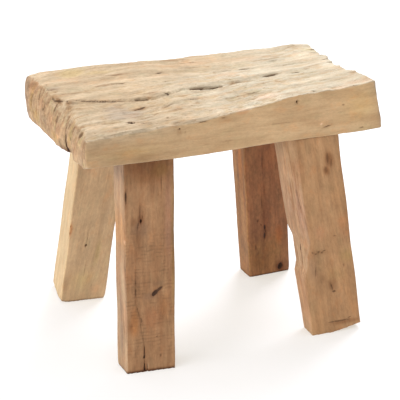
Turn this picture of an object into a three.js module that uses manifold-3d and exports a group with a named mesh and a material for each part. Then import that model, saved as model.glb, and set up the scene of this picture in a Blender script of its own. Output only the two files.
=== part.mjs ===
// A rustic stool of old, weathered hardwood: one thick slab for the seat on four splayed posts.
// Each post ends in a blind tenon, cut at the post's own compound angle, which a hidden wedge spreads
// in a flared mortise. Millimetres, +Z up, +X along the seat, the front at -Y. The origin lies on the
// floor under the middle of the stool's box.
import * as THREE from "three";
import { mergeVertices } from "three/addons/utils/BufferGeometryUtils.js";
import Module from "manifold-3d";

const { lerp, clamp, smoothstep, degToRad } = THREE.MathUtils;
const wasm = await Module();
wasm.setup();

// Seat slab
const seatLength = 510;
const seatWidth = 274;
const underside = 336; // floor to the slab's flat underside
const slabThickness = 66; // before warping and wear
const gridAlong = 12; // spacing of the slab's surface points along the grain
const gridAcross = 9;
const gridHeight = 13;

// How far the old surface stands above or below the mean thickness at each corner
const riseFrontLeft = -18;
const riseFrontRight = 13;
const riseBackLeft = 11;
const riseBackRight = -5;

// Lengthwise ridges between the softer bands of the grain
const ridgeHeight = 1.1;
const ridgePitch = 37;
const fineRidgePitch = 23;
const grainDrift = 7; // how far the bands wander sideways
const grainDriftPitch = 430;

// Worn hollows (depth above 0) and swellings (below 0): middle, half length, half width
const hollows = [
  { x: -35, y: -seatWidth / 2, depth: 5, reach: 62, spread: 26 }, // the front arris, worn by use
  { x: 105, y: -seatWidth / 2, depth: -4, reach: 70, spread: 34 },
  { x: -188, y: 96, depth: 4, reach: 60, spread: 16 },
  { x: -70, y: 70, depth: 3, reach: 90, spread: 18 },
  { x: 60, y: 46, depth: 3, reach: 120, spread: 14 },
  { x: -120, y: -66, depth: 4, reach: 34, spread: 12 },
  { x: -8, y: -24, depth: 5, reach: 40, spread: 13 },
  { x: 92, y: -14, depth: 4, reach: 50, spread: 12 },
  { x: 20, y: -96, depth: 3, reach: 80, spread: 20 },
  { x: seatLength / 2 - 42, y: seatWidth / 2 - 17, depth: -5.5, reach: 24, spread: 14 }, // a lip at the back
];

// Ends and corners of the slab
const leftEndLean = 14; // the left end leans back by this at its top
const leftEndCorner = 34; // but less and less within this distance of its corners
const leftEndCornerShare = 0.2;
const leftEndBrow = 16; // it has worn back by this more around the shake
const leftEndBrowPlace = -10;
const leftEndBrowReach = 32;
const leftEndSwell = 5; // it stands out by this at its back corner
const leftEndToe = 3.5; // its lower edge is broken away by this, and by twice as much at the back
const leftToeBreak = 7; // and by this more in front of the shake
const leftToeBreakPlace = -60;
const leftToeBreakReach = 14;
const rightEndHollows = [
  { y: -15, depth: 14, reach: 78 }, // worn places in the right end
  { y: -16, depth: 4.5, reach: 34 },
  { y: -104, depth: 6.5, reach: 18 },
  { y: 72, depth: 3, reach: 26 },
];
const endWave = 1.5; // unevenness of the weathered ends
const endWavePitch = 64;
const faceWave = 1.2; // unevenness of the sawn front and back
const faceWavePitch = 210;
const cornerFrontLeft = 5; // radii of the upright corners
const cornerFrontRight = 36; // at the top, and sharp at the bottom
const cornerBackLeft = 4;
const cornerBackRight = 12;

const lowerWear = 6; // the front's lower arris has worn up by this at its left end
const lowerWearReach = 80;
const lowerWearSpread = 10;

// The shake, a long split that opens at the left end and closes towards the right. These are points
// of its line on the top, along and across the seat; it steps over from one grain band to the next.
const shakePath = [
  [-290, -27], [-241, -27], [-219, 3], [-176, -8], [-130, -23], [-101, -29], [-71, -23], [-46, -11],
  [-26, -9], [1, -15], [29, -19], [49, -12], [92, -10], [108, -6], [170, -8],
];
const shakeLength = 420;
const shakeSlant = 26; // how far it leans forward through the slab's thickness
const shakeWidth = 2.2; // at the left end
const shakeTipWidth = 1.2;
const shakeOverrun = 16; // its cut starts this far outside the end
const shakeGapes = [
  { x: -115, width: 3.5, reach: 15 },
  { x: -13, width: 5, reach: 13 },
  { x: 13, width: 6, reach: 13 },
  { x: 54, width: 3, reach: 9 },
  { x: 119, width: 5, reach: 14 },
];
const shakeTipDepth = 5;
const shakeThrough = 34; // it runs right through the slab for this length from the end

// Joints between the posts and the slab
const fitGap = 0.3;
const mortiseCover = 10; // wood left over a tenon's end where the slab is thinnest
const thinnestRise = Math.min(riseFrontLeft, riseFrontRight, riseBackLeft, riseBackRight);
const tenonLength = slabThickness + thinnestRise - mortiseCover;
const tenonShoulder = 10;
const tenonCorner = 2.5;
const tenonFlare = 1.6; // how far the wedge spreads each cheek at the tenon's end
const mortiseSpare = 2; // room left beyond the tenon's end
const kerfRoot = 8; // the saw kerf stops this far over the shoulder
const kerfDepth = tenonLength - kerfRoot;
const kerfWidth = 1.6;
const wedgeStop = 4; // the wedge's thin end stays this far from the kerf's root
const wedgeInset = 1.5; // the wedge stops this far short of the tenon's front and back

// Posts: where the head stands from the slab's end and side, the splay along and across the seat,
// the turn about the upright, and the section at the foot and at the head.
const posts = [
  {
    name: "leg_front_left", end: -1, side: -1, endInset: 113.65, sideInset: 38.7,
    splayAlong: 3.4, splayAcross: 8.6, turn: -7.4,
    footWidth: 81, headWidth: 84, footDepth: 40.5, headDepth: 42.5, colour: 0x8f6344,
  },
  {
    name: "leg_front_right", end: 1, side: -1, endInset: 122.6, sideInset: 35.4,
    splayAlong: 6.4, splayAcross: 7.6, turn: -3.1,
    footWidth: 89.5, headWidth: 89.5, footDepth: 36, headDepth: 64, colour: 0xa9825c,
  },
  {
    name: "leg_rear_left", end: -1, side: 1, endInset: 119.1, sideInset: 37.6,
    splayAlong: 5.3, splayAcross: 9.1, turn: -8.5,
    footWidth: 77, headWidth: 78.5, footDepth: 76, headDepth: 62.5, colour: 0xb28e68,
  },
  {
    name: "leg_rear_right", end: 1, side: 1, endInset: 129.3, sideInset: 69.5,
    splayAlong: 7, splayAcross: 6.6, turn: 0.3,
    footWidth: 79.5, headWidth: 76, footDepth: 41.5, headDepth: 54.5, colour: 0x7d5236,
  },
];
const postArris = 2.5; // radius of a post's long edges
const postRings = 15;
const hewnWave = 0.8; // unevenness of a post's faces
const hewnPitch = 130;

// What age and the saw left on single posts
const waneAcross = 26; // the front right post is rounded by the tree's outside on one edge:
const waneThrough = 42; // how far the rounding reaches over the front and over the side
const waneEnd = 150; // height where the wane runs out
const waneFade = 60;
const tearTop = 176; // a piece is torn from the same post's left side between these heights
const tearBottom = 100;
const tearSlope = 16; // length of its sloping ends
const tearDepth = 5.5;
const leftFlare = 6; // the front left post is this much wider at its back than at its front
const footLift = 9; // its foot is broken away towards the right by this height
const footLiftStart = -6;
const checkWidth = 3.2; // the front left post has dried open at the foot
const checkHeight = 52;
const checkDepth = 15;
const checkPlace = -4.7;
const footChamfer = 6.5; // the rear left post has lost a corner of its foot
const footChamferWidth = 12;
const footChamferTilt = 0.08; // how much more is gone for each step towards the back

const seatWood = new THREE.MeshStandardMaterial({ color: 0xcbb38d, roughness: 0.85, metalness: 0 });
const wedgeWood = new THREE.MeshStandardMaterial({ color: 0xb8946a, roughness: 0.7, metalness: 0 });

// A closed geometry as a solid that can be joined and cut.
function solidOf(geometry) {
  const plain = geometry.clone();
  plain.deleteAttribute("normal");
  plain.deleteAttribute("uv");
  const merged = mergeVertices(plain, 1e-4);
  return new wasm.Manifold(
    new wasm.Mesh({
      numProp: 3,
      vertProperties: new Float32Array(merged.attributes.position.array),
      triVerts: new Uint32Array(merged.index.array),
    }),
  );
}

function meshOf(solid, name, material) {
  const { numProp, vertProperties, triVerts } = solid.getMesh();
  const count = vertProperties.length / numProp;
  const positions = new Float32Array(count * 3);
  for (let i = 0; i < count; i += 1) {
    positions.set(vertProperties.subarray(i * numProp, i * numProp + 3), i * 3);
  }
  const geometry = new THREE.BufferGeometry();
  geometry.setAttribute("position", new THREE.BufferAttribute(positions, 3));
  geometry.setIndex(new THREE.BufferAttribute(new Uint32Array(triVerts), 1));
  geometry.computeVertexNormals();
  const mesh = new THREE.Mesh(geometry, material);
  mesh.name = name;
  return mesh;
}

// A soft bump of height 1 that has faded out at about twice its reach.
function bump(distance, reach) {
  return Math.exp(-((distance / reach) ** 2));
}

function wave(value, pitch, phase = 0) {
  return Math.sin((2 * Math.PI * value) / pitch + phase);
}

// Moves every point of a grid box, whose corners are at 0 and 1, to where place(a, b, c) says.
function shapedBox(along, across, up, place) {
  const box = new THREE.BoxGeometry(1, 1, 1, along, across, up);
  const points = box.attributes.position;
  for (let i = 0; i < points.count; i += 1) {
    const p = place(points.getX(i) + 0.5, points.getY(i) + 0.5, points.getZ(i) + 0.5);
    points.setXYZ(i, p.x, p.y, p.z);
  }
  return solidOf(box);
}

// Height of the old seat surface over the floor.
function seatHeight(x, y) {
  const along = x / seatLength + 0.5;
  const across = y / seatWidth + 0.5;
  const front = lerp(riseFrontLeft, riseFrontRight, along);
  const back = lerp(riseBackLeft, riseBackRight, along);
  const drift = wave(x, grainDriftPitch) + 0.5 * wave(x, grainDriftPitch / 2.6, 1);
  const bands = y + grainDrift * drift;
  let height = underside + slabThickness + lerp(front, back, across);
  const fineBands = wave(bands, fineRidgePitch, x / grainDriftPitch);
  height += ridgeHeight * (wave(bands, ridgePitch) + 0.6 * fineBands);
  for (const { x: hx, y: hy, depth, reach, spread } of hollows) {
    height -= depth * bump(x - hx, reach) * bump(y - hy, spread);
  }
  return height;
}

// The upright corners are rounded: a point inside a corner's square is drawn in to its quarter round.
function roundCorner(x, y, radius) {
  const a = (Math.abs(x) - (seatLength / 2 - radius)) / radius;
  const b = (Math.abs(y) - (seatWidth / 2 - radius)) / radius;
  if (a <= 0 || b <= 0) {
    return [x, y];
  }
  const roundA = a * Math.sqrt(1 - (b * b) / 2);
  const roundB = b * Math.sqrt(1 - (a * a) / 2);
  return [x - Math.sign(x) * radius * (a - roundA), y - Math.sign(y) * radius * (b - roundB)];
}

function cornerRadius(x, y, up) {
  if (y < 0) {
    return x < 0 ? cornerFrontLeft : lerp(1, cornerFrontRight, up);
  }
  return x < 0 ? cornerBackLeft : cornerBackRight;
}

function slabBody() {
  const along = Math.round(seatLength / gridAlong);
  const across = Math.round(seatWidth / gridAcross);
  const up = Math.round(slabThickness / gridHeight);
  return shapedBox(along, across, up, (a, b, c) => {
    const flatX = (a - 0.5) * seatLength;
    const flatY = (b - 0.5) * seatWidth;
    const [x0, y0] = roundCorner(flatX, flatY, cornerRadius(flatX, flatY, c));
    const ripple = 0.6 * wave(flatY, endWavePitch) + 0.4 * wave(flatY, endWavePitch / 1.7, 3 * c);
    const roughness = endWave * (1 + ripple);
    const toCorner = smoothstep(seatWidth / 2 - Math.abs(flatY), 0, leftEndCorner);
    const lean = leftEndLean * lerp(leftEndCornerShare, 1, toCorner);
    const brow = lean + leftEndBrow * bump(flatY - leftEndBrowPlace, leftEndBrowReach);
    const atBack = smoothstep(flatY, -seatWidth / 4, seatWidth / 2);
    const broken = leftToeBreak * bump(flatY - leftToeBreakPlace, leftToeBreakReach);
    const toe = leftEndToe * (1 + atBack) + broken;
    const leftEnd = roughness + brow * c ** 3 + toe * (1 - c) ** 3 - leftEndSwell * atBack;
    let rightEnd = roughness;
    for (const hollow of rightEndHollows) {
      rightEnd += hollow.depth * bump(flatY - hollow.y, hollow.reach);
    }
    const sawn = faceWave * (1 + wave(flatX, faceWavePitch, 2 * c));
    const x = x0 + lerp(leftEnd, -rightEnd, a);
    const y = y0 + lerp(sawn, -sawn, b);
    const wornAlong = bump(flatX + seatLength / 2, lowerWearReach);
    const wornAcross = bump(flatY + seatWidth / 2, lowerWearSpread);
    const low = underside + lowerWear * wornAlong * wornAcross;
    return { x, y, z: lerp(low, seatHeight(x, y), c) };
  });
}

// Where the shake's line on the top runs across the seat. Past its first and last point it goes
// straight on.
function shakeAcross(x) {
  const last = shakePath.length - 1;
  const next = shakePath.findIndex(([along], i) => i === last || (i > 0 && along > x));
  const [x0, y0] = shakePath[next - 1];
  const [x1, y1] = shakePath[next];
  return lerp(y0, y1, (x - x0) / (x1 - x0));
}

// The split follows the grain along the seat and leans forward as it goes down.
function shakeBody() {
  const start = -seatLength / 2 - shakeOverrun;
  const proud = slabThickness / 3;
  const steps = Math.round(shakeLength / gridAlong);
  return shapedBox(steps, 1, 3, (a, b, c) => {
    const x = lerp(start, start + shakeLength, a);
    const fromEnd = x + seatLength / 2;
    const line = shakeAcross(x);
    const top = seatHeight(x, line);
    const through = slabThickness * 1.4;
    const closing = smoothstep(fromEnd, shakeThrough, shakeLength);
    const depth = lerp(through, shakeTipDepth, Math.sqrt(closing));
    let width = lerp(shakeWidth, shakeTipWidth, closing);
    for (const gape of shakeGapes) {
      width += gape.width * bump(x - gape.x, gape.reach);
    }
    const floorWidth = lerp(shakeTipWidth, shakeWidth, bump(fromEnd, shakeThrough));
    const below = lerp(depth, -proud, c);
    const z = top - below;
    const half = 0.5 * lerp(floorWidth, width, clamp(1 - below / depth, 0, 1));
    const lean = shakeSlant * (below / slabThickness);
    return { x, y: line - lean + lerp(-half, half, b), z };
  });
}

// Outline of a post's section. Each corner is a quarter of an ellipse: its reach across and through.
function sectionOf(width, depth, reaches) {
  const corners = [[1, 1], [-1, 1], [-1, -1], [1, -1]];
  const arcSteps = 4;
  const points = [];
  corners.forEach(([sx, sy], quarter) => {
    const [across, through] = reaches[quarter];
    for (let i = 0; i <= arcSteps; i += 1) {
      const angle = (Math.PI / 2) * (quarter + i / arcSteps);
      const x = sx * (width / 2 - across) + across * Math.cos(angle);
      const y = sy * (depth / 2 - through) + through * Math.sin(angle);
      points.push(new THREE.Vector2(x, y));
    }
  });
  return points;
}

// A post leans in two directions: this is the middle of its level section at a height.
function postMiddle(post, height) {
  const drop = underside - height;
  const x = seatLength / 2 - post.endInset + drop * Math.tan(degToRad(post.splayAlong));
  const y = seatWidth / 2 - post.sideInset + drop * Math.tan(degToRad(post.splayAcross));
  return new THREE.Vector2(post.end * x, post.side * y);
}

function ringAt(post, height, outline) {
  const middle = postMiddle(post, height);
  const turn = degToRad(post.turn);
  return outline.map((p) => {
    const q = p.clone().rotateAround(new THREE.Vector2(), turn).add(middle);
    return new THREE.Vector3(q.x, q.y, height);
  });
}

// A skin over level rings of equally many points, closed by a fan at each end.
function loft(rings) {
  const size = rings[0].length;
  const points = rings.flat();
  const faces = [];
  for (let r = 0; r + 1 < rings.length; r += 1) {
    for (let i = 0; i < size; i += 1) {
      const a = r * size + i;
      const b = r * size + ((i + 1) % size);
      faces.push(a, b, b + size, a, b + size, a + size);
    }
  }
  const ends = [rings[0], rings[rings.length - 1]];
  ends.forEach((ring, top) => {
    const hub = points.length;
    const middle = new THREE.Vector3();
    ring.forEach((p) => middle.add(p));
    points.push(middle.divideScalar(size));
    const first = top ? (rings.length - 1) * size : 0;
    for (let i = 0; i < size; i += 1) {
      const a = first + i;
      const b = first + ((i + 1) % size);
      faces.push(hub, ...(top ? [a, b] : [b, a]));
    }
  });
  const geometry = new THREE.BufferGeometry().setFromPoints(points);
  geometry.setIndex(faces);
  return solidOf(geometry);
}

// The tenon's section at a height over the shoulder, spread towards its end, with room all round.
function tenonRing(post, over, room) {
  const spread = tenonFlare * clamp((over - kerfRoot) / kerfDepth, 0, 1);
  const width = post.headWidth - 2 * tenonShoulder + 2 * spread + 2 * room;
  const depth = post.headDepth - 2 * tenonShoulder + 2 * room;
  const corner = tenonCorner + room;
  const outline = sectionOf(width, depth, new Array(4).fill([corner, corner]));
  return ringAt(post, underside + over, outline);
}

// Half the opening of the tenon's saw kerf, counted up from its root.
function kerfHalf(up) {
  return kerfWidth / 2 + tenonFlare * (up / kerfDepth);
}

function boxRing(post, over, halfWidth, halfDepth) {
  const corners = [[1, 1], [-1, 1], [-1, -1], [1, -1]];
  const outline = corners.map(([sx, sy]) => new THREE.Vector2(sx * halfWidth, sy * halfDepth));
  return ringAt(post, underside + over, outline);
}

function kerfBody(post) {
  const past = 2 * mortiseSpare;
  const halfDepth = post.headDepth / 2;
  return loft([
    boxRing(post, kerfRoot, kerfHalf(0), halfDepth),
    boxRing(post, tenonLength + past, kerfHalf(kerfDepth + past), halfDepth),
  ]);
}

// The wedge fills the opened kerf and bears on the mortise's floor.
function wedgeBody(post) {
  const topOver = tenonLength + mortiseSpare - fitGap;
  const lowOver = kerfRoot + wedgeStop;
  const halfDepth = post.headDepth / 2 - tenonShoulder - wedgeInset;
  return loft([
    boxRing(post, lowOver, kerfHalf(lowOver - kerfRoot) - fitGap, halfDepth),
    boxRing(post, topOver, kerfHalf(topOver - kerfRoot) - fitGap, halfDepth),
  ]);
}

function mortiseBody(post) {
  const heights = [-2 * mortiseSpare, kerfRoot, tenonLength, tenonLength + mortiseSpare];
  return loft(heights.map((over) => tenonRing(post, over, fitGap)));
}

// Depth of the tear in the front right post's left side at a height.
function tearAt(height) {
  const fromTop = clamp((tearTop - height) / tearSlope, 0, 1);
  const fromBottom = clamp((height - tearBottom) / tearSlope, 0, 1);
  return tearDepth * fromTop * fromBottom;
}

// A post's level section with the unevenness of hewn faces and what is special to single posts.
function postRing(post, height) {
  const up = height / underside;
  const hewnAcross = hewnWave * wave(height, hewnPitch, post.endInset);
  const hewnThrough = hewnWave * wave(height, hewnPitch, post.sideInset);
  const width = lerp(post.footWidth, post.headWidth, up) + hewnAcross;
  const depth = lerp(post.footDepth, post.headDepth, up) + hewnThrough;
  const reaches = new Array(4).fill([postArris, postArris]);
  const waney = post.name === "leg_front_right";
  if (waney) {
    const grown = smoothstep(height, waneEnd - waneFade / 2, waneEnd + waneFade / 2);
    const through = Math.min(waneThrough, depth - 2 * postArris);
    reaches[2] = [lerp(postArris, waneAcross, grown), lerp(postArris, through, grown)];
  }
  const outline = sectionOf(width, depth, reaches);
  for (const p of outline.filter((q) => q.x < 0)) {
    p.x += waney ? tearAt(height) : 0;
    p.x -= post.name === "leg_front_left" ? leftFlare * (p.y / depth) : 0;
  }
  return ringAt(post, height, outline);
}

function postBody(post) {
  const shoulder = underside - fitGap;
  const heights = [];
  for (let i = 0; i <= postRings; i += 1) {
    heights.push((shoulder * i) / postRings);
  }
  if (post.name === "leg_front_right") {
    heights.push(tearBottom, tearBottom + tearSlope, tearTop - tearSlope, tearTop);
    heights.sort((a, b) => a - b);
  }
  const rings = heights.map((height) => postRing(post, height));
  rings.push(tenonRing(post, -fitGap, 0));
  rings.push(tenonRing(post, kerfRoot, 0));
  rings.push(tenonRing(post, tenonLength, 0));
  return loft(rings).subtract(kerfBody(post));
}

// A block under a sloping plane, which takes broken wood away from the underside of a foot. The
// plane may also rise towards the back, by the tilt.
function underCut(post, from, to, rise, tilt = 0) {
  const past = rise;
  const far = Math.max(post.footWidth, post.footDepth);
  const place = (x, y, z) => {
    const q = new THREE.Vector2(x, y).rotateAround(new THREE.Vector2(), degToRad(post.turn));
    const middle = postMiddle(post, 0);
    return { x: q.x + middle.x, y: q.y + middle.y, z };
  };
  return shapedBox(1, 1, 1, (a, b, c) => {
    const x = a ? to + past * Math.sign(to - from) : from;
    const y = (to > from ? 1 : -1) * (b - 0.5) * 2 * far;
    const top = a ? (rise + tilt * y) * (1 + past / Math.abs(to - from)) : 0;
    return place(x, y, c ? top : -past);
  });
}

// A drying check in the front of the front left post: a thin wedge that closes upwards and inwards.
function checkBody(post) {
  const past = checkWidth;
  const turn = degToRad(post.turn);
  return shapedBox(1, 1, 4, (a, b, c) => {
    const height = lerp(-past, checkHeight, c);
    const closing = clamp(1 - height / checkHeight, 0.02, 1);
    const front = -post.footDepth / 2 - past;
    const inner = -post.footDepth / 2 + checkDepth * closing;
    const y = b ? inner : front;
    const half = 0.5 * checkWidth * closing * (b ? 0.15 : 1);
    const q = new THREE.Vector2(checkPlace + lerp(-half, half, a), y);
    q.rotateAround(new THREE.Vector2(), turn).add(postMiddle(post, height));
    return { x: q.x, y: q.y, z: height };
  });
}

const stool = new THREE.Group();
let slab = slabBody().subtract(shakeBody());
for (const post of posts) {
  slab = slab.subtract(mortiseBody(post));
}
stool.add(meshOf(slab, "seat_slab", seatWood));

for (const post of posts) {
  let body = postBody(post);
  if (post.name === "leg_front_left") {
    body = body.subtract(checkBody(post));
  }
  if (post.name === "leg_front_right") {
    body = body.subtract(underCut(post, footLiftStart, post.footWidth / 2, footLift));
  }
  if (post.name === "leg_rear_left") {
    const edge = -post.footWidth / 2;
    body = body.subtract(underCut(post, edge + footChamferWidth, edge, footChamfer, footChamferTilt));
  }
  const wood = new THREE.MeshStandardMaterial({ color: post.colour, roughness: 0.75, metalness: 0 });
  stool.add(meshOf(body, post.name, wood));
  stool.add(meshOf(wedgeBody(post), post.name.replace("leg", "wedge"), wedgeWood));
}

const box = new THREE.Box3().setFromObject(stool);
const middle = box.getCenter(new THREE.Vector3());
stool.position.set(-middle.x, -middle.y, -box.min.z);

export default stool;
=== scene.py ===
# %% [markdown]
# # A stool of old, weathered wood
# The stool is one thick slab on four splayed posts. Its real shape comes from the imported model, in
# metres, with the floor at height 0. This lesson gives each piece the skin that years outdoors leave:
# eaten grain, splits, knots and worn edges. Loading the model comes first, because all else rides on it.

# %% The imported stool
import itertools
import math
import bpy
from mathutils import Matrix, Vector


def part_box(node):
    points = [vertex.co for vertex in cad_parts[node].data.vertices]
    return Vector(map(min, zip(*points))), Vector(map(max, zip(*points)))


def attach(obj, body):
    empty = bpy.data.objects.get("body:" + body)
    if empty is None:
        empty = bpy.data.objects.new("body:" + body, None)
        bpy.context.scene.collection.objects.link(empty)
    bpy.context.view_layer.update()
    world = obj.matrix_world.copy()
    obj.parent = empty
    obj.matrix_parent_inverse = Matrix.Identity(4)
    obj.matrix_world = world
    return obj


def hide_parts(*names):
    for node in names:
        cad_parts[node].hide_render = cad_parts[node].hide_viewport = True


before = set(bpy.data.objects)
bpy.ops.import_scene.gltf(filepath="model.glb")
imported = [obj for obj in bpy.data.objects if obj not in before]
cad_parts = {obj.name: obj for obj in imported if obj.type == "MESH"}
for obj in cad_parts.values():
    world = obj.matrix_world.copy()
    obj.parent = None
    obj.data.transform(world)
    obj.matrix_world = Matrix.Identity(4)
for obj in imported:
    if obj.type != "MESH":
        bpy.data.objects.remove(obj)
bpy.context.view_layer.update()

from types import SimpleNamespace

import bpy
import numpy as np
from mathutils import Vector

MM = 0.001
SEAT_SHIFT = 1.59  # the ends are worn unequally, so the seat's own middle lies this far right of its box's
UNDERSIDE = 336  # height of the seat's flat underside

scene = bpy.context.scene
seat_low, seat_high = (np.array(corner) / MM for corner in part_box("seat_slab"))
seat_middle = (seat_low + seat_high) / 2 * (1, 1, 0) + (SEAT_SHIFT, 0, 0)
HALF_LENGTH, HALF_WIDTH = (seat_high - seat_low)[:2] / 2
print("pieces:", sorted(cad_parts), "seat's middle:", seat_middle.round(1))

# %% [markdown]
# ## Camera
# The photograph was taken from the front left, a little above the seat, with a long lens from about
# three metres. A long lens keeps the posts nearly parallel in the picture. The angles below were found
# by laying the model's corners over the picture's.

# %% Camera
AZIMUTH, ELEVATION = math.radians(-23.645), math.radians(22.304)
AIM = Vector((89.17, 214.68, 104.77)) + Vector(seat_middle)
DISTANCE = 3131.9
SENSOR_WIDTH, FOCAL_LENGTH = 36, 157.75

towards_camera = Vector((
    math.sin(AZIMUTH) * math.cos(ELEVATION),
    -math.cos(AZIMUTH) * math.cos(ELEVATION),
    math.sin(ELEVATION),
))
camera = bpy.data.objects.new("camera", bpy.data.cameras.new("camera"))
camera.data.sensor_width, camera.data.lens = SENSOR_WIDTH, FOCAL_LENGTH
camera.location = (AIM + towards_camera * DISTANCE) * MM
camera.rotation_euler = (-towards_camera).to_track_quat("-Z", "Y").to_euler()
scene.collection.objects.link(camera)
scene.camera = camera
print("camera at", [round(c, 3) for c in camera.location])

# %% [markdown]
# ## Shader expressions
# A finish is a sum of many small ideas: streaks, pores, stains. Wiring them by hand takes long lists of
# nodes. This small class wraps one output socket, so a finish can be written as sums and products, and
# each operator adds the node that works it out.

# %% A class for shader expressions
def operator(operation, swapped=False):
    """A Python operator between a wire and anything else, as the node that works it out."""
    def reckon(wire, other):
        return wire.reckon(operation, *((other, wire) if swapped else (wire, other)))
    return reckon


class Wire:
    """One output socket of a node tree, which Python's operators can reckon with."""

    def __init__(self, tree, socket=None):
        self.tree, self.socket = tree, socket

    def node(self, kind, sockets=None, output=0, stops=None, **settings):
        """Adds a node: its settings first, then what its sockets are given. Returns one output."""
        made = self.tree.nodes.new(kind)
        for name, value in settings.items():
            setattr(made, name, value)
        if stops:
            ramp = made.color_ramp
            while len(ramp.elements) < len(stops):
                ramp.elements.new(0.5)
            for stop, (place, colour) in zip(ramp.elements, stops):
                stop.position, stop.color = place, (*colour, 1)
        for place, value in (sockets or {}).items():
            if isinstance(value, Wire):
                self.tree.links.new(value.socket, made.inputs[place])
            else:
                made.inputs[place].default_value = value
        return Wire(self.tree, made.outputs[output] if len(made.outputs) else None)

    def reckon(self, operation, first, second):
        """Math nodes for plain values, and Vector Math as soon as a colour or a vector takes part."""
        parts = [p for p in (first, second) if isinstance(p, Wire)]
        if all(p.socket.type == "VALUE" for p in parts) and not isinstance(second, (tuple, list)):
            return self.node("ShaderNodeMath", {0: first, 1: second}, operation=operation)
        wide = [(p, p, p) if isinstance(p, (int, float)) else p for p in (first, second)]
        return self.node("ShaderNodeVectorMath", dict(enumerate(wide)), operation=operation)

    __add__, __radd__ = operator("ADD"), operator("ADD", swapped=True)
    __sub__, __rsub__ = operator("SUBTRACT"), operator("SUBTRACT", swapped=True)
    __mul__, __rmul__ = operator("MULTIPLY"), operator("MULTIPLY", swapped=True)

    def between(self, low, high):
        """0 at low, 1 at high and smooth in between; low may be the larger."""
        limits = {0: self, 1: low, 2: high}
        return self.node("ShaderNodeMapRange", limits, interpolation_type="SMOOTHSTEP")

    def blend(self, first, second, share):
        """A colour that goes from the first to the second by the share."""
        ends = {6: first, 7: second}
        ends = {place: (*c, 1) if isinstance(c, tuple) else c for place, c in ends.items()}
        return self.node("ShaderNodeMix", {"Factor": share, **ends}, output=2, data_type="RGBA")

    def mixed(self, other, share):
        """This colour, with the other one laid over it by the share."""
        return self.blend(self, other, share)

    def tinted(self, tint, share):
        """This colour, multiplied by a tint as far as the share says."""
        return self.mixed(self * tint, share)


def new_finish(name):
    """An empty material, as the wire that all its expressions start from, and the material itself."""
    material = bpy.data.materials.new(name)
    material.use_nodes = True
    material.node_tree.nodes.clear()
    return Wire(material.node_tree), material


print("the operators are ready")

# %% [markdown]
# ## Floor
# The stool stands in a bright product set on pale paper. A floor that glows a little stays white and still
# takes a trace of shadow, which is what an over-lit paper floor does.

# %% Floor
FLOOR_GLOW = (0.50, 0.485, 0.415, 1)
FLOOR_PAPER = (0.50, 0.505, 0.575, 1)
FLOOR_REACH = 14

floor_corners = [(FLOOR_REACH * a, FLOOR_REACH * b, 0) for a, b in ((-1, -1), (1, -1), (1, 1), (-1, 1))]
floor_mesh = bpy.data.meshes.new("floor")
floor_mesh.from_pydata(floor_corners, [], [(0, 1, 2, 3)])
floor = bpy.data.objects.new("floor", floor_mesh)
scene.collection.objects.link(floor)
paper, paper_material = new_finish("studio_paper")
dull = paper.node("ShaderNodeBsdfDiffuse", {"Color": FLOOR_PAPER})
glow = paper.node("ShaderNodeEmission", {"Color": FLOOR_GLOW, "Strength": 1})
both = paper.node("ShaderNodeAddShader", {0: dull, 1: glow})
paper.node("ShaderNodeOutputMaterial", {"Surface": both})
floor_mesh.materials.append(paper_material)
print("the floor is", 2 * FLOOR_REACH, "metres wide")

# %% [markdown]
# ## Light
# Big soft lamps give faint, warm shadows. A white surrounding lights every side, a large lamp on the
# left brightens the posts' left sides, and one behind on the right throws the shadows forward to the
# left.

# %% Light
SURROUNDINGS = 0.85
LAMPS_LOOK_AT = Vector((0, 0, 0.25))

scene.view_settings.view_transform = "Standard"
world = bpy.data.worlds.new("studio")
world.use_nodes = True
world.node_tree.nodes["Background"].inputs["Color"].default_value = (1, 1, 1, 1)
world.node_tree.nodes["Background"].inputs["Strength"].default_value = SURROUNDINGS
scene.world = world


def soft_lamp(name, azimuth, elevation, distance, size, watts, colour):
    """A square area lamp that looks at the stool; azimuth 0 is in front and 90 on the right."""
    data = bpy.data.lights.new(name, "AREA")
    data.size, data.energy, data.color = size, watts, colour
    lamp = bpy.data.objects.new(name, data)
    turn, rise = math.radians(azimuth), math.radians(elevation)
    away = Vector((math.sin(turn) * math.cos(rise), -math.cos(turn) * math.cos(rise), math.sin(rise)))
    lamp.location = away * distance + LAMPS_LOOK_AT
    lamp.rotation_euler = away.to_track_quat("Z", "Y").to_euler()
    scene.collection.objects.link(lamp)


soft_lamp("left_lamp", -84, 10, 2.4, 2.2, 57, (1, 0.98, 0.95))
soft_lamp("back_lamp", 135, 52, 2.4, 1.1, 52, (1, 0.985, 0.96))
print("two lamps are set")

# %% [markdown]
# ## Unevenness
# Old wood is never even, but a script has to give the same stool each time. Noise from a hashed lattice
# does both: each lattice cell gets a number from its own coordinates, and points between cells get a
# smooth mean. A long pitch one way and a short one the other gives streaks instead of blobs.

# %% Noise
def lattice(cell, seed):
    """A number from -1 to 1 for each cell. The large odd numbers scatter neighbours far apart."""
    mixed = cell[:, 0] * 374761393 + cell[:, 1] * 668265263 + cell[:, 2] * 1440662683 + seed * 974634777
    mixed = (mixed ^ (mixed >> 13)) & 0xFFFFFFFF
    mixed = (mixed * 1274126177) & 0xFFFFFFFF
    mixed = mixed ^ (mixed >> 16)
    return (mixed & 0xFFFF) / 32767.5 - 1


def noise(points, pitch, seed):
    """Smooth noise from -1 to 1; pitch is the distance between its bumps along each axis."""
    at = points / np.array(pitch, float)
    cell = np.floor(at).astype(np.int64)
    part = at - cell
    part = part * part * (3 - 2 * part)
    total = np.zeros(len(points))
    for corner in itertools.product((0, 1), repeat=3):
        share = np.prod(np.where(corner, part, 1 - part), axis=1)
        total += share * lattice(cell + corner, seed)
    return total


def rough(points, pitch, seed, octaves=3):
    """Noise with finer and weaker noise on top."""
    pitch = np.array(pitch, float)
    return sum(noise(points, pitch / 2.1**k, seed + k) * 0.55**k for k in range(octaves))


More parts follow.
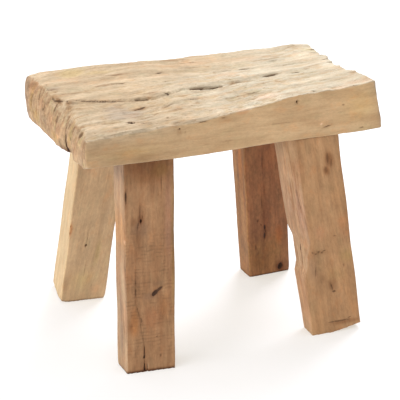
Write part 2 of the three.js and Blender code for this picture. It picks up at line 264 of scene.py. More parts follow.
def smooth(value, low, high):
    """0 at low, 1 at high and smooth in between; low may be the larger."""
    t = np.clip((value - low) / (high - low), 0, 1)
    return t * t * (3 - 2 * t)


print("noise of three points:", noise(np.eye(3) * 7.3, (5, 5, 5), 1).round(2))

# %% [markdown]
# ## An even skin
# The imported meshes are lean, with long triangles that can't carry fine relief. A voxel remesh gives a
# copy an even skin of small faces. The fibres need fewer points along them than across, so the copy is
# shrunk along the grain before the remesh and stretched back after it.

# %% Remeshed copies
def skin_of(node, name, step, squeeze):
    """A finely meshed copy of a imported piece. step: mm between its points, where nothing is squeezed."""
    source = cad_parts[node].data
    points = np.empty(len(source.vertices) * 3, np.float32)
    source.vertices.foreach_get("co", points)
    mesh = source.copy()
    mesh.vertices.foreach_set("co", (points.reshape(-1, 3) * squeeze).astype(np.float32).ravel())
    piece = bpy.data.objects.new(name, mesh)
    scene.collection.objects.link(piece)
    remesh = piece.modifiers.new("even skin", "REMESH")
    remesh.mode, remesh.voxel_size = "VOXEL", step * MM
    ease = piece.modifiers.new("ease", "SMOOTH")
    ease.factor, ease.iterations = 0.5, 3
    view = bpy.context.evaluated_depsgraph_get()
    skin = bpy.data.meshes.new_from_object(piece.evaluated_get(view))
    piece.modifiers.clear()
    piece.data = skin
    skin.name = name
    skin.materials.clear()
    put_points(skin, points_of(skin) / squeeze)
    skin.shade_smooth()
    print(name, "has", len(skin.polygons), "faces")
    return piece


def points_of(mesh):
    """A mesh's points in millimetres."""
    points = np.empty(len(mesh.vertices) * 3, np.float32)
    mesh.vertices.foreach_get("co", points)
    return points.reshape(-1, 3).astype(float) / MM


def put_points(mesh, points):
    """Gives a mesh's points new places, in millimetres."""
    mesh.vertices.foreach_set("co", (points * MM).astype(np.float32).ravel())
    mesh.update()


def normals_of(mesh):
    """Which way each point of the skin faces."""
    normals = np.empty(len(mesh.vertices) * 3, np.float32)
    mesh.vertex_normals.foreach_get("vector", normals)
    return normals.reshape(-1, 3).astype(float)


def keep(mesh, **masks):
    """Stores a number, or a vector, for each point, which a finish reads by its name."""
    for name, values in masks.items():
        kind, field = ("FLOAT", "value") if values.ndim == 1 else ("FLOAT_VECTOR", "vector")
        stored = mesh.attributes.new(name, kind, "POINT").data
        stored.foreach_set(field, values.astype(np.float32).ravel())


seat = skin_of("seat_slab", "seat_weathered", 1.55, np.array((0.4, 1, 1)))

# %% [markdown]
# ## Splits and marks of the seat
# A long shake runs in from the left end, and shorter splits lie along the grain. Each is a spindle: widest
# in its middle and closed at both ends. For every point of the skin the script works out how far it lies
# outside the nearest spindle. That one distance sinks the skin and paints shade into it, so the edge stays
# crisp between mesh points. Places are in millimetres from the seat's middle.

# %% Splits and marks of the seat
# Each split of the top: middle along and across, half length, half width, depth, slope, darkness
SEAT_SPLITS = [
    # the thin end of the shake, and splits beside it
    (-188, -4, 34, 1.3, 1, -0.34, 0.8), (-152, -19, 28, 1.2, 1, -0.36, 0.8),
    (-96, -10, 11, 1.3, 2, 0, 0.6), (-71, -22, 6, 1.6, 2, -0.5, 0.85),
    (-48, -14, 12, 0.9, 1, 0.5, 0.5), (158, -13, 12, 1.2, 2, -0.15, 0.8), (181, -7, 5, 1, 2, 0, 0.7),
    # behind the shake
    (-131, 89, 21, 0.8, 1, -0.14, 0.5), (-119, 86, 7, 1.3, 2, -0.1, 0.85), (-43, 77, 7, 1.1, 1, 0, 0.7),
    (-127, 49, 13, 1.6, 3, -0.03, 0.85),
    (-153, 46, 14, 0.8, 1, -0.1, 0.35), (-45, 34, 10, 1.4, 2, -0.2, 0.85),
    (91, 41, 14, 1.5, 2, -0.2, 0.75), (60, 46, 16, 0.8, 1, -0.1, 0.45), (211, 93, 6, 1.6, 2, 0, 0.75),
    (-90, -2, 20, 0.7, 1, 0.2, 0.45), (-205, 36, 20, 0.7, 1, -0.1, 0.4),
    (-228, 60, 12, 1.6, 2, -0.1, 0.55),
    (-5, 40, 22, 0.7, 1, -0.2, 0.4), (26, 76, 25, 0.8, 1, -0.15, 0.45), (150, 62, 20, 0.8, 1, -0.1, 0.45),
    (10, 104, 26, 0.7, 1, -0.08, 0.35),
    (120, 96, 22, 0.7, 1, -0.1, 0.35), (190, 30, 18, 0.8, 1, -0.1, 0.45),
    (160, 30, 22, 0.6, 1, -0.13, 0.4), (60, 14, 18, 0.7, 1, -0.08, 0.4), (200, -36, 22, 0.7, 1, 0, 0.4),
    # in front of the shake
    (-127, -54, 8, 2.6, 3, 0.35, 0.75),
    (-138, -57, 5, 1.3, 2, 0.3, 0.8), (-163, -103, 8, 2.8, 5, -0.5, 1),
    (-146, -111, 12, 0.8, 1, -0.3, 0.5),
    (-116, -86, 4, 1.2, 2, 0.3, 0.8), (-106, -108, 3, 1.4, 2, 0.1, 0.7),
    (-84, -62, 14, 0.9, 1, 0.2, 0.4), (-40, -60, 18, 0.9, 2, -0.2, 0.5),
    (-17, -44, 15, 0.8, 1, -0.1, 0.4),
    (21, -58, 30, 0.8, 1, -0.03, 0.45), (12, -84, 14, 0.9, 1, 0, 0.4), (88, -42, 20, 0.8, 1, 0.08, 0.45),
    (135, -126, 2.8, 2.4, 4, 0, 1), (126, -77, 16, 0.9, 1, -0.17, 0.45),
    (168, -78, 19, 0.7, 1, -0.05, 0.4),
    (206, -84, 19, 0.9, 2, 0.11, 0.4), (-173, -118, 19, 0.6, 1, -0.05, 0.3),
    # open ends of the grain at the right end
    (247, 94, 12, 2.2, 5, 0, 1), (246, 55, 13, 2.6, 6, 0, 1), (242, 30, 14, 2.6, 6, 0.04, 1),
    (240, 5, 12, 1.2, 3, 0, 0.7), (240, 76, 9, 1, 3, 0, 0.6), (244, -30, 9, 0.9, 2, 0, 0.5),
]
# Each mark of the sawn front: middle along, height, half length, half height, depth, slope, darkness
FRONT_MARKS = [
    (-97.5, 385, 2.4, 2.2, 2, 0, 1), (-88, 378, 1.4, 1.6, 1, 0, 0.5), (-107, 380, 1.2, 2, 1, 0, 0.35),
    (101, 400, 1.7, 3.6, 5, 0, 1), (155, 352, 8, 1.1, 2, 0.18, 0.8), (-57, 391, 8, 1.5, 2, 0, 0.65),
    (-22, 391, 6, 1.1, 1, 0, 0.4), (218, 342, 5, 1.2, 1, 0, 0.5), (-30, 352, 26, 0.5, 1, 0, 0.25),
    (60, 368, 32, 0.5, 1, 0, 0.25), (-160, 366, 24, 0.5, 1, 0, 0.25), (183, 383, 3, 2, 1, 0, 0.4),
]
# Each mark of the left end: height, place across, half height, half width, depth, slope, darkness
END_MARKS = [
    (382, -96, 5, 2.8, 3, 0, 0.4), (366, -95, 12, 0.7, 1, 0, 0.4), (372, -36, 13, 1.2, 3, 0.3, 0.8),
    (354, -45, 15, 3.2, 5, 0.2, 1), (341, -48, 10, 3, 5, 0, 1), (388, -14, 11, 1.3, 3, 0.5, 0.75),
    (380, 48, 14, 1, 2, 0.1, 0.5), (390, 78, 11, 1, 2, 0, 0.5), (376, 3, 13, 1, 2, 0.2, 0.45),
    (366, -14, 14, 1, 1, 0.2, 0.45), (384, -29, 8, 0.9, 2, 0.2, 0.7), (384, -37, 7, 0.9, 2, 0.2, 0.7),
    (383, -44, 8, 0.9, 2, 0.2, 0.7), (384, -51, 7, 0.8, 2, 0.2, 0.6), (384, -70, 8, 0.8, 1, 0.2, 0.4),
    (360, 30, 13, 0.9, 1, 0.2, 0.4), (370, 64, 12, 0.8, 1, 0.1, 0.4), (378, 100, 16, 0.8, 1, 0, 0.3),
    (392, 40, 9, 1.2, 2, 0, 0.6), (396, 58, 8, 1.4, 2, 0.2, 0.6), (388, 20, 8, 1.2, 2, 0.2, 0.6),
    (372, 84, 9, 0.8, 1, 0.2, 0.35), (346, 4, 9, 1, 1, 0.3, 0.4), (352, 60, 9, 0.9, 1, 0.2, 0.35),
]
# Each notch across the brow of the left end: place across and along, then as for a split
NOTCHES = [
    (21, -236, 13, 1.6, 2, -0.5, 0.75),
    (33, -241, 5, 1.3, 1, -0.4, 0.6), (1, -225, 8, 1.8, 2, -0.4, 0.75),
    (-6, -222, 5, 1.2, 1, 0.4, 0.6), (60, -238, 9, 1.4, 2, -0.3, 0.55), (50, -234, 5, 1.1, 1, -0.6, 0.5),
    (82, -236, 8, 1, 1, -0.2, 0.35), (-20, -228, 6, 1.1, 1, -0.5, 0.45),
]
FAR_OFF = 9.0  # this many mm outside a mark, nothing of it shows


def spindle(along, across, middle, side, half_length, half_width, slope):
    """How far points lie outside a split that runs along the grain and is closed at both ends."""
    t = (along - middle) / half_length
    return abs(across - side - slope * (along - middle)) - half_width * (1 - t * t)


class Marks:
    """For each point: how far outside the nearest mark it lies, how dark that is, and how deep."""

    def __init__(self, count, soft):
        self.gap, self.tone, self.depth = np.full(count, FAR_OFF), np.zeros(count), np.zeros(count)
        self.soft = soft

    def press(self, away, width, depth, dark):
        """Adds a mark: how far points lie outside it, its half width, its depth and its darkness."""
        self.tone = np.where(away < self.gap, dark, self.tone)
        self.gap = np.minimum(self.gap, away)
        self.depth = np.maximum(self.depth, depth * smooth(away, self.soft, -width))


marks_listed = len(SEAT_SPLITS) + len(FRONT_MARKS) + len(END_MARKS) + len(NOTCHES)
print(marks_listed, "splits and marks on the seat")

# %% [markdown]
# ## Stains of the seat
# The years left patches: grey where rain stood, rosy and golden where the heartwood shows, pale where
# the surface is worn. A stain is a soft ellipse on one face. Several of a kind make one mask, which
# takes the strongest at each point.

# %% Stains of the seat
# Each stain of the top: name, middle along and across, half length, half width, strength
SEAT_STAINS = [
    ("grey", -167, -45, 20, 14, 0.8), ("grey", -160, -70, 30, 18, 1), ("grey", -150, -98, 26, 8, 0.5),
    ("grey", -228, 62, 13, 9, 0.8), ("grey", 60, -112, 22, 10, 0.3),
    ("rosy", 39, -73, 16, 9, 0.5), ("rosy", 66, -98, 20, 18, 0.9),
    ("rosy", 9, -132, 11, 7, 1), ("rosy", 224, -117, 30, 8, 0.9), ("rosy", -195, 96, 34, 8, 0.4),
    ("rosy", 30, 96, 60, 14, 0.4), ("rosy", 120, 84, 50, 14, 0.4), ("rosy", 178, -126, 30, 7, 0.6),
    ("rosy", 50, 26, 40, 10, 0.4), ("rosy", -40, 60, 40, 10, 0.3), ("brown", -232, -6, 12, 13, 0.5),
    ("brown", -232, 60, 9, 8, 0.6), ("brown", -226, 2, 8, 6, 0.8), ("brown", -236, 22, 4, 12, 0.9),
    ("brown", -96, -12, 14, 5, 0.6), ("brown", -130, -56, 12, 6, 0.7), ("brown", -148, 48, 20, 4, 0.5),
    ("brown", -110, 87, 22, 4, 0.5), ("brown", -57, -136, 12, 5, 0.5), ("brown", 0, 120, 26, 6, 0.8),
    ("brown", 20, -54, 40, 4, 0.35), ("brown", 70, -12, 50, 4, 0.35), ("brown", -178, 78, 40, 5, 0.3),
    ("brown", 133, -112, 26, 6, 0.3), ("pale", -39, -116, 50, 9, 0.9), ("pale", 30, -126, 30, 6, 0.6),
    ("pale", -150, 20, 60, 12, 0.5), ("pale", -100, 64, 60, 10, 0.4), ("pale", -238, 121, 16, 12, 1),
    ("pale", 120, 12, 60, 12, 0.5), ("pale", 210, 60, 30, 22, 0.8), ("pale", 150, -70, 60, 16, 0.5),
    ("pale", -163, -112, 12, 3.5, 0.9), ("pale", -164, -95, 10, 3, 0.7), ("pale", -205, 22, 34, 9, 0.6),
    ("pale", -67, -124, 16, 7, 0.8), ("pale", 224, -10, 24, 30, 0.6), ("pale", -215, -84, 20, 20, 0.5),
    ("gold", -183, 113, 22, 10, 1), ("gold", -140, 104, 30, 8, 0.6), ("gold", 21, -104, 14, 7, 0.5),
    ("gold", 236, 96, 12, 16, 0.5), ("brown", 201, 124, 13, 5, 1), ("pale", 64, -102, 18, 22, 0.7),
    ("pale", -100, 14, 46, 20, 0.8),
]
# Each stain of the front: name, middle along, height, half length, half height, strength
FRONT_STAINS = [
    ("brown", -98, 378, 5, 6, 0.4), ("rosy", 128, 362, 34, 14, 0.3), ("gold", 215, 378, 44, 34, 0.45),
    ("gold", -170, 356, 60, 14, 0.4), ("pale", 205, 377, 24, 1.4, 0.7),
    ("pale", 196, 370, 20, 1.2, 0.6), ("pale", 212, 363, 26, 1.2, 0.5), ("pale", 60, 343, 60, 4, 0.3),
    ("grey", 252, 376, 5, 44, 1), ("pale", -200, 384, 60, 8, 0.5),
    ("pale", 196, 380, 60, 40, 0.5), ("white", 144, 357, 2.4, 1.8, 1),
    ("brown", -20, 386, 26, 5, 0.3), ("brown", -150, 345, 90, 12, 0.3),
]
# Each stain of the left end: name, place across, height, half width, half height, strength
END_STAINS = [
    ("grey", 122, 376, 10, 40, 1), ("rosy", 104, 400, 14, 12, 1), ("gold", 104, 378, 6, 24, 0.9),
    ("rosy", 62, 384, 16, 12, 0.6), ("rosy", 18, 372, 14, 16, 0.6), ("gold", -60, 366, 8, 30, 0.8),
    ("gold", 0, 348, 22, 9, 0.7), ("rosy", -14, 358, 10, 12, 0.9), ("rosy", -84, 362, 12, 16, 0.4),
    ("gold", 84, 356, 16, 12, 0.7), ("grey", -40, 338, 26, 6, 1), ("brown", -40, 340, 20, 6, 0.7),
    ("pale", 10, 396, 5, 8, 0.9), ("pale", 30, 392, 7, 8, 0.5), ("pale", -34, 396, 7, 10, 0.7),
    ("grey", 40, 362, 14, 10, 0.4), ("brown", -96, 382, 4, 6, 0.5), ("pale", -80, 376, 8, 14, 0.5),
]
SEAT_STAIN_KINDS = ("grey", "rosy", "brown", "pale", "gold", "white")


def spread_stains_and_shade(mesh, kinds, faces):
    """Stores how strong each kind of stain and of painted shade is at each point. faces: a table of stains
    and painted shade, the two coordinates that its places are given in, and the mask of its face."""
    for stain in kinds:
        amount = np.zeros(len(mesh.vertices))
        for table, across, up, here in faces:
            for kind, place, height, width, length, strength in table:
                if kind == stain:
                    away = ((across - place) / width) ** 2 + ((up - height) / length) ** 2
                    amount = np.maximum(amount, strength * np.exp(-away) * here)
        keep(mesh, **{stain: amount})


print(len(SEAT_STAINS) + len(FRONT_STAINS) + len(END_STAINS), "stains on the seat")

# %% [markdown]
# ## Which face, and how the grain runs
# Ends, front, back and top weather in different ways, so each point of the skin is first told where it
# lies. A mask is 1 on its face, 0 off it and smooth in between, so that one kind of wear fades into the
# next. The grain's own coordinates drift sideways along the seat, as the fibres do, and all streaks and
# ridges follow them.

# %% Survey of the seat
TOP_FROM = 372  # what faces up below this height is no part of the top


def top_surface(x, y, z, top):
    """Height of the old top over each point, from the highest point in each small cell."""
    cell = 6
    column = (x // cell).astype(int) - int(x.min() // cell)
    row = (y // cell).astype(int) - int(y.min() // cell)
    heights = np.full((column.max() + 1, row.max() + 1), -np.inf)
    np.maximum.at(heights, (column, row), np.where(top > 0.2, z, -np.inf))
    for _ in range(4):
        beside = [np.roll(heights, step, axis) for step in (-1, 0, 1) for axis in (0, 1)]
        heights = np.where(np.isinf(heights), np.maximum.reduce(beside), heights)
    return heights[column, row]


def survey_seat(mesh):
    """Where each point lies, on which face, how the grain runs there and how much has been eaten."""
    at = SimpleNamespace(p=points_of(mesh) - seat_middle, n=normals_of(mesh))
    at.x, at.y, at.z = x, y, z = at.p.T
    at.top = smooth(at.n[:, 2], 0.3, 0.8) * (z > TOP_FROM)
    at.front = smooth(-at.n[:, 1], 0.5, 0.9) * (y < -HALF_WIDTH + 8)
    at.back = smooth(at.n[:, 1], 0.5, 0.9) * (y > HALF_WIDTH - 8)
    at.end = smooth(abs(at.n[:, 0]), 0.5, 0.9) * (abs(x) > HALF_LENGTH - 36)
    at.on_left = at.end * (x < 0)
    at.surface = top_surface(x, y, z, at.top)
    at.sunk = at.surface - z

    drift = 7 * (np.sin(2 * np.pi * x / 430) + 0.5 * np.sin(2 * np.pi * x / 165 + 1))
    drift += 0.05 * y * np.sin(2 * np.pi * x / 300)
    at.grain = np.column_stack([y + drift + 2.5 * noise(at.p, (60, 16, 40), 5), z, x])

    # The weather ate most at the front left, and least at the back left and on the right
    eaten = 0.6 + 0.35 * noise(at.p, (110, 50, 60), 51) - 0.4 * smooth(y, 20, 80) * smooth(x, 60, -60)
    eaten += 0.1 * smooth(y, -40, -100) * smooth(x, 120, -40) - 0.2 * smooth(x, 20, 120)
    eaten += 0.5 * smooth(y, -90, -125) * smooth(x, -60, 20)
    eaten += 0.7 * np.exp(-(((x - 64) / 24) ** 2) - ((y + 102) / 28) ** 2)
    at.eaten = np.clip(eaten, 0.12, 1.2)
    return at


seat_survey = survey_seat(seat.data)
print("share of the skin on the top:", round(float((seat_survey.top > 0.5).mean()), 2))

# %% [markdown]
# ## End grain
# The ends crumble into upright blocks between fissures. The blocks' edges wander, because the fissures
# follow the soft bands between the year rings. The blocks stand out or back by turns, so that each end
# keeps its place as a whole.

# %% Crumbled ends
# Each end: its side, width of its blocks, seed, how deep blocks stand back, how deep fissures are cut
CRUMBLED_ENDS = ((-1, 9, 21, 3.2, 2.6), (1, 7, 31, 1.6, 1.4))
LAYER_HEIGHT, FISSURE_WIDTH = 31, 1.2  # blocks also break across, about this far apart


def columns(across, z, width, seed):
    """Upright blocks of end grain: how far each stands back (0 to 1), and the fissures between them."""
    flat = np.column_stack([across * 0, across, z])
    wander = across / width + 0.4 * noise(flat, (1, 3 * width, 40), seed)
    wander += 0.2 * noise(flat, (1, 8, 9), seed + 1)
    block = np.floor(wander)
    within = wander - block
    layer = np.floor(z / LAYER_HEIGHT + 0.5 * np.sin(block * 7))
    whole = np.column_stack([block, layer, block * 0]).astype(np.int64)
    back = (lattice(whole, seed + 2) + 1) / 2
    fissure = np.exp(-((np.minimum(within, 1 - within) * width / FISSURE_WIDTH) ** 2))
    strength = 0.25 + 0.75 * (lattice(whole * (1, 0, 0), seed + 3) > -0.1)
    return back, fissure * strength * (0.6 + 0.4 * noise(flat, (1, 6, 16), seed + 4))


def crumbled_ends(at):
    """How far each point of the ends stands back, and the fissures and blocks that it belongs to."""
    recess, fissures, blocks = np.zeros((3, len(at.x)))
    for side, width, seed, deep, cut in CRUMBLED_ENDS:
        stands_back, fissure = columns(at.y, at.z, width, seed)
        near = smooth(side * at.x, HALF_LENGTH - 40, HALF_LENGTH - 12)
        high = 0.15 + 0.85 * smooth(at.z, 345, 395)
        deep = deep * (1 + 0.6 * smooth(at.y, 10, 60) * (side > 0))
        rise = deep * (stands_back - 0.45) + cut * fissure + 0.9 * noise(at.p, (9, 4, 12), seed + 7)
        rise *= high
        recess += side * near * rise
        fissures += near * fissure
        blocks += near * (stands_back - 0.5)
    return recess, fissures, blocks


recess, fissures, blocks = crumbled_ends(seat_survey)
print("the ends stand back by up to", round(float(abs(recess).max()), 1), "mm")

# %% [markdown]
# ## Worn edges
# Hands, rain and knocks take the edges first. The distance to an edge says where wear can reach, and
# noise says how much it took: a little nearly everywhere, and a bite in a few places. The front's upper
# edge is rubbed round towards the left, where the stool has been used most.

# %% Worn edges
def worn_edges(at):
    """How much is gone from the upper edges, from the lower ones and from the corners."""
    x, y, z, p = at.x, at.y, at.z, at.p
    rim = np.minimum(HALF_WIDTH - abs(y), HALF_LENGTH - abs(x))
    to_arris = np.hypot(np.maximum(rim, 0), np.maximum(at.sunk, 0))
    to_front = np.hypot(np.maximum(y + HALF_WIDTH, 0), np.maximum(at.sunk, 0))
    rounding = 3.6 * smooth(x, 0, -130) + 0.6
    rounding *= smooth(to_front, 20, 0)
    bites = np.maximum(0, rough(p, (22, 14, 14), 43, 3) - 0.05)
    chip = (0.4 + 0.9 * rough(p, (50, 60, 60), 41, 2) + 2.8 * bites) * smooth(to_arris, 8, 0)
    chip = np.clip(chip, 0, 3.2) * (1 - 0.75 * smooth(y, 60, 110) * smooth(x, -60, 0))
    chip += rounding * (1 + 0.5 * rough(p, (14, 7, 7), 45, 2))

    low_rim = np.hypot(np.maximum(rim, 0), np.maximum(z - UNDERSIDE, 0))
    chip_low = np.clip(rough(p, (22, 18, 30), 47, 3) - 0.25, 0, 1) * smooth(low_rim, 6, 0)

    corner = np.hypot(np.maximum(HALF_WIDTH - abs(y), 0), np.maximum(HALF_LENGTH - abs(x), 0))
    corner_wear = smooth(corner, 12, 0) * (0.4 + 1.4 * np.maximum(0, rough(p, (12, 12, 16), 46, 3)))
    corner_wear *= 1 - smooth(x, 0, 10) * (y < 0) * smooth(z, 375, 360)
    return chip, chip_low, corner_wear


chip, chip_low, corner_wear = worn_edges(seat_survey)
print("the upper edges lost up to", round(float(chip.max()), 1), "mm")

# %% [markdown]
# ## Ridges, sun checks and the shake
# Rain and sun eat the soft summer wood faster than the hard winter wood, so the top is ridged along the
# grain: noise of three pitches, each drawn out along the fibres. Where a slow noise crosses zero there
# is a thin line, and such lines make good sun checks, because they wander and never end bluntly. The
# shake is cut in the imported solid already. Here its rim gets a step, as the wood behind it stands proud.

# %% Relief of the top
SHAKE_PATH = (
    (-290, -27), (-241, -27), (-219, 3), (-176, -8), (-130, -23), (-101, -29), (-71, -23), (-46, -11),
    (-26, -9), (1, -15), (29, -19), (49, -12), (92, -10), (108, -6), (170, -8),
)
SHAKE_LEAN, SLAB_THICKNESS = 26, 66  # it leans forward by this much through the slab


def eaten_top(at):
    """Height of the eaten grain over the sound surface, and the distance to the nearest sun check."""
    coarse = np.tanh(2.6 * noise(at.grain, (14, 40, 62), 53))
    medium = noise(at.grain, (6, 30, 28), 55)
    fine = noise(at.grain, (3.2, 30, 20), 57)
    hair = noise(at.grain, (1.9, 30, 13), 58)
    crumbs = rough(at.p, (13, 7, 12), 59, 3)
    relief = at.eaten * (0.42 * coarse + 0.6 * medium + 1.1 * crumbs) + 0.38 * fine + 0.24 * hair

    field = noise(at.grain, (13, 60, 70), 63)
    check = abs(field) * 13 / 2.2 + 3.5 * smooth(noise(at.grain, (18, 40, 22), 65), 0.22, -0.02)
    check = np.where(at.eaten > 0.3, check, FAR_OFF)
    return relief - 0.8 * smooth(check, 0.9, 0) * at.eaten, check


def open_shake(at):
    """The step at the shake's rim, and the mask of the shake's inner walls."""
    along, across = np.array(SHAKE_PATH, float).T
    line = np.interp(at.x, along, across) - SHAKE_LEAN * (at.surface - at.z) / SLAB_THICKNESS
    from_line = at.y - line
    proud = 1.6 * smooth(at.x, 130, -90) * np.exp(-((from_line / 30) ** 2)) * smooth(at.x, -245, -200)
    step = proud * (smooth(from_line, -1.2, 1.2) - 0.5) * 2
    inside = smooth(abs(from_line), 9, 5) * smooth(at.x, 178, 160) * smooth(at.sunk, 1.4, 3.5)
    inside *= (at.n[:, 2] < 0.8) * (at.z > UNDERSIDE + 1) * smooth(abs(at.n[:, 0]), 0.75, 0.45)
    return step, inside


relief, check = eaten_top(seat_survey)
print("the top's relief runs from", relief.min().round(1), "to", relief.max().round(1), "mm")

# %% [markdown]
# ## Weathering the seat
# Now every kind of wear is laid on the skin, each in the direction in which it works: ends along the
# seat, sawn faces across it, the top up and down. A few soft lumps then shift the outline where the
# photograph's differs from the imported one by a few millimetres. The masks are stored for the finish.

# %% Weathered seat
# Each lump or hollow of the outline: its place, how far it reaches and how far it stands out, along x, y, z
LUMPS = [
    ((-152, 116, 404), (34, 40, 60), (0, 0, 2.6)), ((160, 116, 404), (60, 40, 60), (0, 0, 2.6)),
    ((-248, 118, 411), (14, 24, 11), (5, -2, -2)), ((-250, 6, 338), (14, 12, 10), (0, 0, -4)),
    ((-250, -60, 338), (14, 12, 10), (0, 0, 3)), ((252, 52, 404), (12, 14, 12), (3.5, 0, 0)),
    ((252, -82, 402), (12, 16, 12), (3, 0, 0)), ((252, -130, 346), (14, 40, 22), (3.5, 0, 0)),
    ((225, -130, 336), (70, 40, 12), (0, 0, -2.4)),
]


def seat_marks(at):
    """Every split, notch and mark of the seat, pressed in on its own face."""
    marks = Marks(len(at.x), 0.9)
    ragged = 0.6 * noise(at.grain, (3, 30, 9), 61)
    brow = (at.x < 30 - HALF_LENGTH) * smooth(at.z, 380, 386)
    places = (
        (SEAT_SPLITS, at.x, at.y, at.top), (FRONT_MARKS, at.x, at.z, at.front),
        (END_MARKS, at.z, at.y, at.on_left), (NOTCHES, at.y, at.x, brow),
    )
    for table, along, across, here in places:
        for middle, side, length, width, depth, slope, dark in table:
            away = spindle(along, across, middle, side, length, width, slope) + ragged
            away += FAR_OFF * (1 - smooth(here, 0.1, 0.4))
            marks.press(away, width, depth, dark)
    return marks


def shape_seat(at, marks, step):
    """The new place of every point of the seat's skin."""
    sawn = noise(at.grain, (30, 5, 120), 71) * 0.3 + 0.12 * noise(at.grain, (30, 2.4, 60), 73)
    near_side = smooth(abs(at.y), HALF_WIDTH - 22, HALF_WIDTH - 6)
    near_end = smooth(abs(at.x), HALF_LENGTH - 14, HALF_LENGTH - 6)
    worn_off = chip + chip_low + corner_wear
    p = at.p.copy()
    p[:, 0] -= recess + np.sign(at.x) * worn_off * near_end - at.on_left * marks.depth
    p[:, 1] += (
        (at.front - at.back) * (0.3 + sawn) - np.sign(at.y) * worn_off * near_side
        + at.front * marks.depth
    )
    p[:, 2] += at.top * (relief - marks.depth + step) - 0.85 * chip + 0.9 * chip_low
    p[:, 2] += smooth(-at.n[:, 2], 0.5, 0.9) * 0.3 * noise(at.grain, (5, 30, 90), 75)
    before = p.copy()
    for place, reach, push in LUMPS:
        near = np.exp(-((((before - place) / reach) ** 2).sum(1)))
        p += near[:, None] * push
    return p


def weather_seat(mesh, at):
    """Moves the skin, and stores the masks that the finish reads."""
    marks = seat_marks(at)
    step, inside = open_shake(at)
    p = shape_seat(at, marks, step)
    put_points(mesh, p + seat_middle)
    x, y, z = p.T
    off_top, sawn = 1 - at.top, at.front + at.back
    bleached = smooth(x, -150, 80) * (1 - 0.9 * smooth(y, 20, 90) * smooth(x, 170, 60))
    bleached = np.maximum(bleached, 0.2 * smooth(y, -20, -90) * smooth(x, -20, -110))
    keep(mesh, grain=at.grain, gap=marks.gap, tone=marks.tone, shake=inside)
    keep(mesh, check=np.where(at.top > 0.3, check, FAR_OFF))
    keep(mesh, relief=np.clip(relief / 1.6, -1, 1) * at.top)
    keep(mesh, end_wood=at.end * (1 - 0.8 * at.top), blocks=blocks * at.end * off_top)
    keep(mesh, fissure=np.clip(fissures, 0, 1) * at.end * off_top)
    keep(mesh, sawn=sawn * (1 - 0.45 * smooth(at.sunk, 22, 2) * smooth(x, -60, -150)))
    keep(mesh, bleached=bleached * at.top, front_bleached=at.front * smooth(x, -170, -10))
    keep(mesh, pitted=at.top * (0.35 + 0.65 * smooth(at.eaten, 0.4, 0.9)))
    keep(mesh, calm=np.maximum(sawn, smooth(x, 60, 200) * at.top * 0.8))
    faces = (
        (SEAT_STAINS, x, y, smooth(at.sunk, 9, 2)), (FRONT_STAINS, x, z, at.front),
        (END_STAINS, y, z, at.on_left),
    )
    spread_stains_and_shade(mesh, SEAT_STAIN_KINDS, faces)


weather_seat(seat.data, seat_survey)
print("the seat is weathered, with", len(seat.data.attributes), "attributes")

# %% [markdown]
# ## The posts
# Each post was sawn from a different old beam. In a post's own coordinates the fibres run straight up
# its length, so the first job is to find those coordinates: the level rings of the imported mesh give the
# turn of the section and the line that its middle follows.

# %% A post's own coordinates
def spread(ring, angle):
    """The smallest and largest place across and through, once the ring is turned by an angle."""
    c, s = math.cos(angle), math.sin(angle)
    turned = ring[:, :2] @ np.array([[c, -s], [s, c]])
    return turned.min(0), turned.max(0)


def post_axes(node):
    """The post's turn, and its middle at the foot and how that moves with height, all in mm."""
    points = points_of(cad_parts[node].data)
    points = points[points[:, 2] < UNDERSIDE - 6]
    heights, counts = np.unique(points[:, 2].round(1), return_counts=True)
    rings = [points[abs(points[:, 2] - h) < 0.1] for h in heights[counts >= 12]]

    def area(angle):
        return sum(np.prod(np.subtract(*spread(ring, angle)[::-1])) for ring in rings)

    turn = min(np.radians(np.arange(-11, 8.1, 0.2)), key=area)
    c, s = math.cos(turn), math.sin(turn)
    middles = []
    for ring in rings:
        u, v = sum(spread(ring, turn)) / 2
        middles.append((ring[0, 2], c * u - s * v, s * u + c * v))
    h, mx, my = np.array(middles).T
    lean = np.array([np.polyfit(h, mx, 1), np.polyfit(h, my, 1)])
    print(node, "is turned by", round(math.degrees(turn), 1), "degrees and leans by", lean[:, 0].round(3))
    return turn, lean


def in_post(points, turn, lean):
    """Points in the post's own coordinates: across, through, and height."""
    middle = points[:, 2:] * lean[:, 0] + lean[:, 1]
    flat = points[:, :2] - middle
    c, s = math.cos(turn), math.sin(turn)
    return np.column_stack([flat @ (c, s), flat @ (-s, c), points[:, 2]])


post_lines = {node: post_axes(node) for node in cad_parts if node.startswith("leg")}

# %% [markdown]
# ## Marks on the posts
# Knots, drying checks, nail holes and stains are what tells one post from another. They are listed by
# the face that they lie on. A check or a hole is a spindle along the post, thin or short. A knot that
# the saw cut aslant is an ellipse, tilted on its face.

